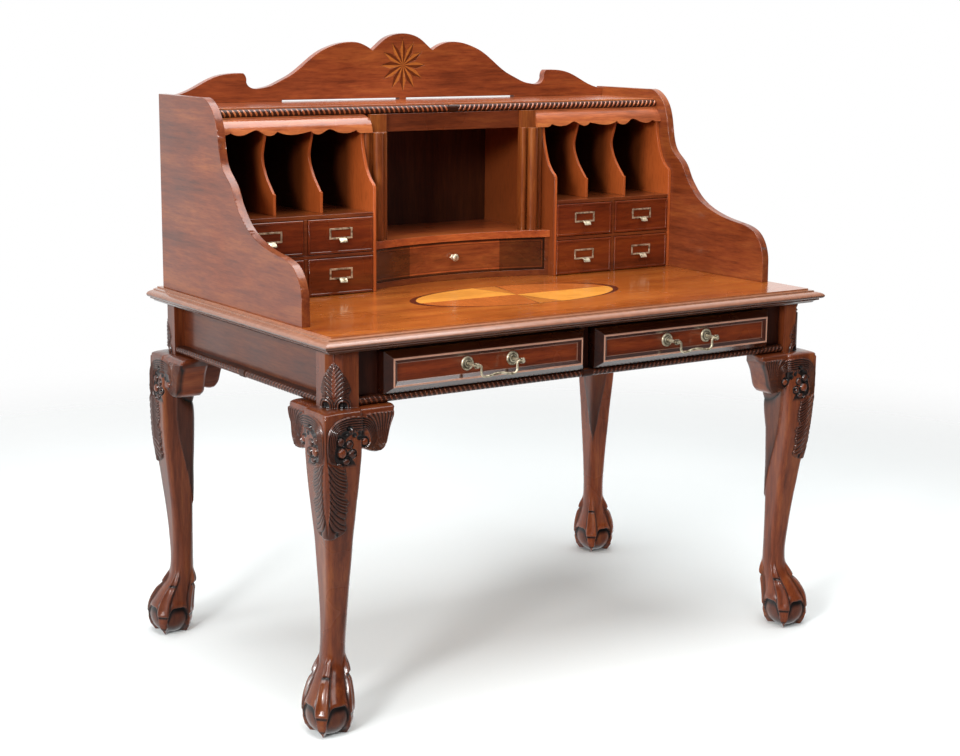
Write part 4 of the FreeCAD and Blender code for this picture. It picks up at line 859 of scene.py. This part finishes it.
def leg_mesh(name, side, end):
    """Leg from the floor to the top: foot, shaft, knee, cap and post."""
    outer, inner = 85, 46
    share = np.concatenate([np.arange(outer) / outer / 4, 0.25 + np.arange(inner) / inner / 4])
    share = np.concatenate([share, 1 - share[:0:-1], [0.5]])
    share.sort()
    around = len(share)
    gap = np.minimum(share, 1 - share)
    loops, hollows = [], []
    foot = np.array((FOOT_X, FOOT_Y[end]))
    for z in HEIGHTS:
        inset, half, radius, lean = (float(flow(z, LEG[:, 0], LEG[:, k])) for k in (1, 2, 3, 4))
        slim = -SLIM * max(0.0, (z - SLIM_FROM) / (KNEE_Z - SLIM_FROM)) / 2
        stout = STOUT * min(1.0, max(0.0, (z - STOUT_FROM) / (STOUT_TO - STOUT_FROM))) / 2
        change = slim if end > 0 else stout
        centre = foot - (inset / math.sqrt(2) + abs(change)) + LEAN[end] * lean
        half += change
        flat, normal, total = rounded_square(share, half, min(radius, half - 0.3))
        level = np.full(around, z)
        if z < FOOT_TOP:
            toe = np.abs((share * 4 + 0.5) % 1 - 0.5) * FOOT_R * np.pi / 2
            lean = centre - foot
            level_r = math.sqrt(max(BALL_R ** 2 - (z - BALL_Z) ** 2, 0))
            along = normal @ lean
            ball = np.sqrt(np.maximum(level_r ** 2 - lean @ lean + along ** 2, 0)) - along
            radius_at, cut = foot_radius(toe, level, half, ball)
            fade = 1 - ease(z, 128, 156)
            lift = (radius_at - half) * fade
            cut = cut * fade
        else:
            lift, cut = knee_carving(gap * total, level)
        flat = flat + normal * lift[:, None] + centre
        loops.append(np.column_stack([flat, level]))
        hollows.append(cut)
    knee = loops[-1]
    middle = np.array((POST_X, POST_Y[end])) - POST_HALF
    h, c = POST_HALF, POST_CHAMFER
    corner = [(h - c / 2, h - c / 2), (h - c, h), (-h, h), (-h, -h), (h, -h), (h, h - c)]
    flat, normal, total = spread(corner, share)
    flat = flat + middle
    for t in (0.08, 0.18, 0.3, 0.45, 0.6, 0.75, 0.9):
        inward = 1 - math.cos(t * math.pi / 2) if t < 0.5 else 0.293 + 0.707 * (2 * t - 1) ** 1.2
        blend = knee[:, :2] * (1 - inward) + flat * inward
        rise = (CAP_Z - KNEE_Z) * math.sin(t * math.pi / 2)
        loops.append(np.column_stack([blend, np.full(around, KNEE_Z + rise)]))
        # Painted shade: the cap darkens where it meets the post.
        hollows.append(np.full(around, 0.5 * ease(t, 0.6, 1.0)))
    for z in POST_HEIGHTS:
        level = np.full(around, z)
        lift, cut = post_spray(gap * total, level)
        loops.append(np.column_stack([flat + normal * lift[:, None] * 0.9, level]))
        hollows.append(cut)
    points = np.array(loops)
    points[..., 0] *= side
    points[..., 1] = points[..., 1] * end + TOP_SHIFT
    return tube(name, points, np.array(hollows), side * end < 0)


def ear_mesh(name, side, end, across):
    """Scrolled ear beside the knee, along the front or back (across) or along the side."""
    ridge = (FOOT_X if across else FOOT_Y[end]) + POST_HALF + LEAN[end][0 if across else 1]
    ridge -= SLIM if end > 0 else 0
    start = (POST_X if across else POST_Y[end]) - 2 * POST_HALF
    length, proud = EARS[across, end]
    thick = proud + EAR_BACK
    out = np.concatenate([np.arange(-16, length - 12, 1.2), np.linspace(length - 11, length, 12)])
    from_end = np.array((66, 52, 36, 26, 19.5, 16, 12, 7, 0))
    low = flow(out, np.concatenate([[-47], length - from_end]),
               (556, 554, 548.5, 546, 549.3, 559.2, 573.7, 588.9, 601.4, 615))
    rows = 76
    t = np.linspace(0, 1, rows)
    z = low[:, None] + (KNEE_Z - low[:, None]) * t[None, :]
    s = np.repeat((ridge - start + out)[:, None], rows, 1)
    high, cut = knee_carving(s, z)
    edge = 5
    near = np.clip(np.minimum(z - low[:, None], (length - out)[:, None] + 0.4), 0, edge)
    rounding = edge - np.sqrt(edge ** 2 - (edge - near) ** 2)
    depth = rounding - high * ease(near, 0, 4)
    # Round the ear from the face: chamfer, top, back and underside.
    full, chamfer = np.ones((len(out), 1)), np.array((0.12, 0.3, 0.6, 1.0))
    climb, back = np.array((0.4, 0.7, 0.9, 1.0)), np.linspace(0.85, 0.05, 5)
    depth = np.concatenate([
        depth, full * proud * chamfer, full * (proud + EAR_BACK * np.array((0.33, 0.66, 1))),
        full * np.full(5, thick), full * thick * np.linspace(0.9, 0.2, 8)], 1)
    z = np.concatenate([
        z, full * (KNEE_Z + (CAP_Z - KNEE_Z) * climb), full * np.full(3, CAP_Z),
        low[:, None] + (CAP_Z - low[:, None]) * back, np.repeat(low[:, None], 8, 1)], 1)
    cut = np.concatenate([cut, np.zeros((len(out), depth.shape[1] - rows))], 1)
    run = np.repeat((start - out)[:, None], depth.shape[1], 1)
    face = (POST_Y[end] if across else POST_X) + proud - depth
    x, y = (run, face) if across else (face, run)
    points = np.stack([x * side, y * end + TOP_SHIFT, z], -1)
    return tube(name, points, cut, (side * end > 0) != across)


class TABLE_OT_legs(bpy.types.Operator):
    """Carve the four legs: ball feet in claws, leaf drops, scrolled knees and posts"""
    bl_idname = "table.legs"
    bl_label = "Legs"

    def execute(self, context):
        for side_name, side in SIDES:
            for end_name, end in ENDS:
                place = f"{end_name}_{side_name}"
                wood = timber("carved_mahogany_" + place, "Z",
                              tones(LEG_PAINTED_LIGHT[end_name, side_name]), 0.3, carved=True)
                made = add_object("carved_leg_" + place, leg_mesh("leg", side, end), wood)
                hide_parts("leg_" + place)
        return {"FINISHED"}


class TABLE_OT_ears(bpy.types.Operator):
    """Carve the scrolled ears beside each knee"""
    bl_idname = "table.ears"
    bl_label = "Knee ears"

    def execute(self, context):
        wood = timber("carved_mahogany_ears", "X", tones(0.85), 0.3, carved=True)
        for side_name, side in SIDES:
            for end_name, end in ENDS:
                place = f"{end_name}_{side_name}"
                for across, way in ((True, "across"), (False, "along")):
                    name = f"carved_ear_{way}_{place}"
                    made = add_object(name, ear_mesh(name, side, end, across), wood)
                    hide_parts("knee_ears_" + place)
        return {"FINISHED"}


# ------------------------------------------------------------------ rope
def rope_tree():
    """Geometry Nodes: oblique half rings along X, leaning away from the middle."""
    tree = bpy.data.node_groups.new("Rope beads", "GeometryNodeTree")
    for name in ("Length", "Pitch", "Rod", "Bead", "Lean", "Boss"):
        tree.interface.new_socket(name, in_out="INPUT", socket_type="NodeSocketFloat")
    tree.interface.new_socket("Wood", in_out="INPUT", socket_type="NodeSocketMaterial")
    tree.interface.new_socket("Mesh", in_out="OUTPUT", socket_type="NodeSocketGeometry")
    given = node(tree, "NodeGroupInput").outputs
    half = calc("SUBTRACT", calc("MULTIPLY", given["Length"], 0.5), given["Boss"])
    count = calc("FLOOR", calc("DIVIDE", half, given["Pitch"]))
    step = calc("DIVIDE", half, count)
    joined = node(tree, "GeometryNodeJoinGeometry")
    for sign in (-1.0, 1.0):
        begin = calc("ADD", given["Boss"], calc("MULTIPLY", step, 0.5))
        along, offset = (
            node(tree, "ShaderNodeCombineXYZ", {0: calc("MULTIPLY", x, sign)}).outputs[0]
            for x in (begin, step))
        line = node(tree, "GeometryNodeMeshLine", {"Count": count, "Start Location": along,
                                                   "Offset": offset})
        arc = node(tree, "GeometryNodeCurveArc", {
            "Resolution": 9, "Radius": given["Rod"], "Start Angle": math.radians(-110),
            "Sweep Angle": math.radians(220)})
        ring = node(tree, "GeometryNodeCurvePrimitiveCircle", {"Resolution": 7,
                                                               "Radius": given["Bead"]})
        turned = node(tree, "GeometryNodeCurveToMesh", {
            "Curve": arc.outputs[0], "Profile Curve": ring.outputs[0], "Fill Caps": True})
        for turn in ((0.0, math.pi / 2, 0.0), (-math.pi / 2, 0.0, 0.0)):
            turned = node(tree, "GeometryNodeTransform", {"Geometry": turned.outputs[0],
                                                          "Rotation": turn})
        lean = node(tree, "ShaderNodeCombineXYZ", {1: calc("MULTIPLY", given["Lean"], sign)})
        lean = node(tree, "FunctionNodeEulerToRotation", {0: lean.outputs[0]})
        placed = node(tree, "GeometryNodeInstanceOnPoints", {
            "Points": line.outputs[0], "Instance": turned.outputs[0],
            "Rotation": lean.outputs[0]})
        tree.links.new(placed.outputs[0], joined.inputs[0])
    real = node(tree, "GeometryNodeRealizeInstances", {0: joined.outputs[0]})
    smooth = node(tree, "GeometryNodeSetShadeSmooth", {0: real.outputs[0]})
    finish = node(tree, "GeometryNodeSetMaterial", {"Geometry": smooth.outputs[0],
                                                    "Material": given["Wood"]})
    node(tree, "NodeGroupOutput", {0: finish.outputs[0]})
    return tree


def run_tree(tree, values):
    """Plain mesh made by a tree that takes no geometry."""
    item = bpy.data.objects.new("blank", bpy.data.meshes.new("blank"))
    bpy.context.scene.collection.objects.link(item)
    modifier = item.modifiers.new("Nodes", "NODES")
    modifier.node_group = tree
    for socket in tree.interface.items_tree:
        if socket.in_out == "INPUT":
            modifier[socket.identifier] = values[socket.name]
    graph = bpy.context.evaluated_depsgraph_get()
    mesh = bpy.data.meshes.new_from_object(item.evaluated_get(graph), depsgraph=graph)
    bpy.data.objects.remove(item)
    return mesh


# The ropes' axes: inset behind the post's face, half the distance between the side ropes,
# heights, and the shelf rope's depth in the frame.
ROPE_IN, ROPE_X, ROPE_Z, SHELF_ROPE_Y, SHELF_ROPE_Z = 9, 585, 642, 149, 1148.5
BEAD, LEAN_ANGLE, BOSS = 2.7, 0.62, 12


class TABLE_OT_ropes(bpy.types.Operator):
    """Lay the rope moulding under the apron and along the shelf"""
    bl_idname = "table.ropes"
    bl_label = "Rope mouldings"

    def execute(self, context):
        sizes = carving()
        wood = timber("carved_mahogany_rope", "X", tones(0.6), 0.24, 1.0)
        # The shelf rope and the bosses are dressed pale and pink as painted sheen.
        rubbed = timber("rubbed_mahogany_rope", "X", tones(2.0, PAINTED_SHEEN_CAST), 0.26, 1.0)
        # The ropes' cores are dressed nearly black, as painted shade between the beads.
        dress(["apron_rope", "shelf_rope"],
              timber("carved_mahogany_ground", "X", tones(0.2), 0.5, 0.2))
        tree = rope_tree()
        side_long = POST_Y[-1] + POST_Y[1] - 4 * POST_HALF
        side_mid = (POST_Y[1] - POST_Y[-1]) / 2 + TOP_SHIFT
        front = (0, TOP_SHIFT - POST_Y[-1] + ROPE_IN, ROPE_Z)
        shelf = (0, SHELF_ROPE_Y + TOP_SHIFT, SHELF_ROPE_Z)
        ropes = (
            ("rope_front", 1072, sizes.apron_bead, 6.3, 0, front, wood),
            ("rope_left", side_long, sizes.apron_bead, 6.3, -90, (-ROPE_X, side_mid, ROPE_Z), wood),
            ("rope_right", side_long, sizes.apron_bead, 6.3, 90, (ROPE_X, side_mid, ROPE_Z), wood),
            ("rope_shelf", 1147, sizes.shelf_bead, 6.8, 0, shelf, rubbed),
        )
        for name, length, pitch, rod, turn, place, made_of in ropes:
            mesh = run_tree(tree, {"Length": length * MM, "Pitch": pitch, "Rod": rod * MM,
                                   "Bead": BEAD * MM, "Lean": LEAN_ANGLE, "Boss": BOSS * MM,
                                   "Wood": made_of})
            mesh.transform(Matrix.Translation(Vector(place) * MM)
                           @ Matrix.Rotation(math.radians(turn), 4, "Z"))
            add_object(name, mesh)
        for name, place, radii in (("boss_apron", front, (15, 9, 8.8)),
                                   ("boss_shelf", shelf, (13, 8.6, 8.6))):
            mesh = simple_mesh(name, bmesh.ops.create_uvsphere, u_segments=32, v_segments=16,
                               radius=1.0)
            mesh.transform(Matrix.Translation(Vector(place) * MM)
                           @ Matrix.Diagonal([r * MM for r in radii] + [1]))
            mesh.shade_smooth()
            add_object(name, mesh, rubbed)
        return {"FINISHED"}


# ------------------------------------------------------------------ inlay
# The oval: its middle, half axes to and within the dark line, its top and underside, shares
# of its rings, and in degrees half the wedges' angle and half the dark lines' beside them.
OVAL_Y, OVAL, FIELD, OVAL_TOP, OVAL_LOW = -106, (256, 125), (240, 121.5), 770, 768
OVAL_RINGS = (0.06, 0.2, 0.35, 0.5, 0.65, 0.8, 1.0)
WEDGE, WEDGE_LINE = 7, 0.35
# Its veneers by material number.
LIGHT, TURNED, LINE, NARROW = range(4)
# The star: number of rays, reach of their tips, shoulders and roots, middle's height, and
# the faces' places.
RAYS, TIP, SHOULDER, ROOT, STAR_Z, STAR_Y = 12, 58, 36, 13, 1236, (349.5, 351.5)


class TABLE_OT_inlay(bpy.types.Operator):
    """Lay the oval panel in the top and the star in the crest"""
    bl_idname = "table.inlay"
    bl_label = "Inlay"

    def execute(self, context):
        oval = add_object("inlay_oval", self.oval(), veneer("satinwood", "satinwood", gloss=0.22),
                          veneer("satinwood_turned", "satinwood_turned", "Y", 0.22),
                          veneer("stringing", "stringing"),
                          veneer("satinwood_wedge", "satinwood_wedge", "Y", 0.22),
                          slot="satinwood")
        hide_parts("top_inlay")
        star = add_object("inlay_star", self.star(), veneer("star_light", "star_light"),
                          veneer("star_dark", "star_dark"), slot="satinwood")
        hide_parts("crest_star")
        return {"FINISHED"}

    def oval(self):
        """Four matched quarters and two narrow wedges, in a dark line thicker at the ends."""
        middle = np.array((0.0, OVAL_Y + TOP_SHIFT))
        lines = np.array([turn + side * WEDGE for turn in (90, 270) for side in (-1, 1)])
        angles = np.unique(np.concatenate([np.arange(0, 360, 2), lines - WEDGE_LINE,
                                           lines + WEDGE_LINE]))
        steps = len(angles)
        rim = np.stack([np.cos(np.radians(angles)), np.sin(np.radians(angles))], -1)
        rings = [middle + rim * FIELD * share for share in OVAL_RINGS] + [middle + rim * OVAL]
        points = [(*p, OVAL_TOP) for ring in rings for p in ring]
        points += [(*p, OVAL_LOW) for p in rings[-1]] + [(*middle, OVAL_TOP)]
        faces, paints = [], []
        for k in range(steps):
            n = (k + 1) % steps
            turn = angles[k] + 0.1
            from_wedge = abs(turn % 180 - 90)
            own = (int(turn // 90) + 1) % 2
            if abs(from_wedge - WEDGE) < WEDGE_LINE - 0.01:
                own = LINE
            elif from_wedge < WEDGE:
                own = NARROW
            faces.append((k, n, len(points) - 1))
            for r in range(len(rings)):
                a, b = r * steps, (r + 1) * steps
                faces.append((a + k, b + k, b + n, a + n))
            paints += [own] * (len(rings) - 1) + [LINE] * 2
        faces.append([len(rings) * steps + k for k in range(steps)][::-1])
        return painted("oval", points, faces, paints + [LINE])

    def star(self):
        """Twelve split rays, one half of each light and the other dark."""
        spots = [(0.0, 0.0)]
        for k in range(RAYS):
            for radius, off in ((TIP, 0), (SHOULDER, 11.5), (ROOT, 15), (SHOULDER, 18.5)):
                angle = math.radians(360 * k / RAYS + off)
                spots.append((radius * math.sin(angle), radius * math.cos(angle)))
        points = [(x, TOP_SHIFT + y, STAR_Z + z) for y in STAR_Y for x, z in spots]
        count, ring = len(spots), 4 * RAYS
        faces = []
        for base in range(0, ring, 4):
            before, left = 1 + (base - 2) % ring, 1 + (base - 1) % ring
            faces += [(0, base + 3, base + 2, base + 1), (0, base + 1, left, before)]
        edge = list(range(1, count))
        faces += [(a, b, b + count, a + count) for a, b in zip(edge, edge[1:] + edge[:1])]
        faces.append([i + count for i in edge])
        return painted("star", points, faces, [1, 0] * RAYS + [1] * (ring + 1))


def painted(name, points, faces, paints):
    """Mesh whose faces carry material numbers, with its normals outwards."""
    mesh = bpy.data.meshes.new(name)
    mesh.from_pydata([Vector(point) * MM for point in points], [], faces)
    mesh.polygons.foreach_set("material_index", paints)
    work = bmesh.new()
    work.from_mesh(mesh)
    bmesh.ops.recalc_face_normals(work, faces=work.faces)
    work.to_mesh(mesh)
    work.free()
    return mesh


class TABLE_OT_brasses(bpy.types.Operator):
    """Give the handles, label frames and knob their brass"""
    bl_idname = "table.brasses"
    bl_label = "Brasses"

    def execute(self, context):
        plain = ["centre_drawer_knob", "bail_left", "bail_right"]
        wear_and_painted_light = 0.3 * MM
        dress(plain + ["small_pull_" + cell for cell in CELLS], brass(), wear_and_painted_light)
        dress(["handle_posts_left", "handle_posts_right"], brass(rings=True), wear_and_painted_light)
        return {"FINISHED"}


# ------------------------------------------------------------------ stage
# Lamps in metres: name, place, height of the point aimed at over the middle, and size.
LAMPS = (("left", (-5.4, -1.3, 2.9), 0.75, (3.4, 2.8)),
         ("key", (-3.4, -2.13, 2.2), 0.9, (0.7, 0.7)),
         ("top", (0.0, -0.2, 3.2), 0.7, (3.0, 2.6)),
         ("front", (-0.6, -3.6, 2.9), 0.8, (1.6, 1.6)))
# Camera: place in metres, lens in millimetres, and turns in radians.
CAMERA_PLACE, CAMERA_LENS = (-2.2405, -3.2550, 1.3513), 69.08625
YAW, PITCH, ROLL = 0.5998, -0.1951, 0.0089
# The floor ends in white between these distances from the middle.
FLOOR_R, FADE_FROM, FADE_TO = 4.5, 1.3, 3.4


class TABLE_OT_stage(bpy.types.Operator):
    """Set the floor, the lamps, the world and the camera"""
    bl_idname = "table.stage"
    bl_label = "Stage"

    def execute(self, context):
        scene = context.scene
        settings = scene.table_stage
        scene.view_settings.view_transform = "Standard"
        self.floor(scene, settings)
        self.world(scene, settings)
        for name, place, aim, size in LAMPS:
            data = bpy.data.lights.new(name + "_lamp", "AREA")
            data.shape = "RECTANGLE"
            data.size, data.size_y = size
            data.energy = getattr(settings, name + "_power")
            item = bpy.data.objects.new(name + "_lamp", data)
            item.location = place
            item.visible_camera = False
            aimed = Vector((0.0, 0.0, aim)) - Vector(place)
            item.rotation_euler = aimed.to_track_quat("-Z", "Y").to_euler()
            scene.collection.objects.link(item)
        self.camera(scene)
        return {"FINISHED"}

    def floor(self, scene, settings):
        """Round floor that fades out into the white all round."""
        mesh = simple_mesh("studio_floor", bmesh.ops.create_circle, cap_ends=True,
                           radius=FLOOR_R, segments=96)
        material, tree, place = blank_material("matt_studio_floor")
        tint = ramp(noise(place, 1.25), ((0.3, settings.floor_cloud), (0.7, settings.floor)))
        shader = node(tree, "ShaderNodeBsdfPrincipled", {"Base Color": tint, "Roughness": 0.7,
                                                         "Specular IOR Level": 0.2})
        reach = node(tree, "ShaderNodeVectorMath", {0: place}, operation="LENGTH")
        fade = remap(reach.outputs["Value"], FADE_FROM, FADE_TO,
                     interpolation_type="SMOOTHSTEP")
        gloss = node(tree, "ShaderNodeLightPath").outputs["Is Glossy Ray"]
        thin = calc("MAXIMUM", fade, calc("MULTIPLY", gloss, 0.8))
        clear = node(tree, "ShaderNodeBsdfTransparent")
        both = node(tree, "ShaderNodeMixShader", {0: thin, 1: shader.outputs[0],
                                                  2: clear.outputs[0]})
        node(tree, "ShaderNodeOutputMaterial", {"Surface": both.outputs[0]})
        mesh.materials.append(material)
        item = bpy.data.objects.new("studio_floor", mesh)
        scene.collection.objects.link(item)

    def world(self, scene, settings):
        """White for the eye and in gloss from behind; a plain grey light elsewhere."""
        made = bpy.data.worlds.new("studio_world")
        scene.world = made
        made.use_nodes = True
        tree = made.node_tree
        tree.nodes.clear()
        path = node(tree, "ShaderNodeLightPath").outputs
        depth = axis(node(tree, "ShaderNodeTexCoord").outputs["Generated"], "Y")
        back = remap(depth, -0.5, 0.3, 0.04, 1.0)
        grey = remap(depth, -0.6, 0.4, settings.world * 0.5, settings.world)
        seen = calc("MAXIMUM", path["Is Camera Ray"], path["Is Transmission Ray"])
        level = node(tree, "ShaderNodeMix", {0: path["Is Glossy Ray"], 2: grey, 3: back})
        level = calc("MAXIMUM", seen, level.outputs[0])
        light = node(tree, "ShaderNodeBackground", {"Color": (1, 1, 1, 1), "Strength": level})
        node(tree, "ShaderNodeOutputWorld", {"Surface": light.outputs[0]})

    def camera(self, scene):
        """Camera at standing eye height in front of the left corner."""
        data = bpy.data.cameras.new("camera")
        data.sensor_width = 36.0
        data.lens = CAMERA_LENS
        item = bpy.data.objects.new("camera", data)
        look = Vector((math.sin(YAW) * math.cos(PITCH), math.cos(YAW) * math.cos(PITCH),
                       math.sin(PITCH)))
        level = Vector((math.cos(YAW), -math.sin(YAW), 0.0))
        upright = level.cross(look)
        across = level * math.cos(ROLL) + upright * math.sin(ROLL)
        up = upright * math.cos(ROLL) - level * math.sin(ROLL)
        turn = Matrix((across, up, -look)).transposed().to_4x4()
        item.matrix_world = Matrix.Translation(CAMERA_PLACE) @ turn
        scene.collection.objects.link(item)
        scene.camera = item


class TABLE_PT_panel(bpy.types.Panel):
    """Buttons for each group of pieces"""
    bl_idname = "TABLE_PT_panel"
    bl_label = "Writing table"
    bl_space_type = "VIEW_3D"
    bl_region_type = "UI"
    bl_category = "Writing table"

    def draw(self, context):
        for step in STEPS:
            self.layout.operator(step.bl_idname)
        for group in GROUPS:
            settings = getattr(context.scene, group)
            for key in settings.__annotations__:
                self.layout.prop(settings, key)


STEPS = (TABLE_OT_boards, TABLE_OT_drawers, TABLE_OT_legs, TABLE_OT_ears, TABLE_OT_ropes,
         TABLE_OT_inlay, TABLE_OT_brasses, TABLE_OT_stage)
GROUPS = {"table_colours": FinishColours, "table_carving": CarvingSizes,
          "table_stage": StageSizes}


def register():
    for each in (*GROUPS.values(), *STEPS, TABLE_PT_panel):
        bpy.utils.register_class(each)
    for name, group in GROUPS.items():
        setattr(bpy.types.Scene, name, bpy.props.PointerProperty(type=group))


def unregister():
    for name in GROUPS:
        delattr(bpy.types.Scene, name)
    for each in (TABLE_PT_panel, *STEPS[::-1], *GROUPS.values()):
        bpy.utils.unregister_class(each)


def main():
    register()
    for step in STEPS:
        group, action = step.bl_idname.split(".")
        getattr(getattr(bpy.ops, group), action)()


if __name__ == "__main__":
    main()
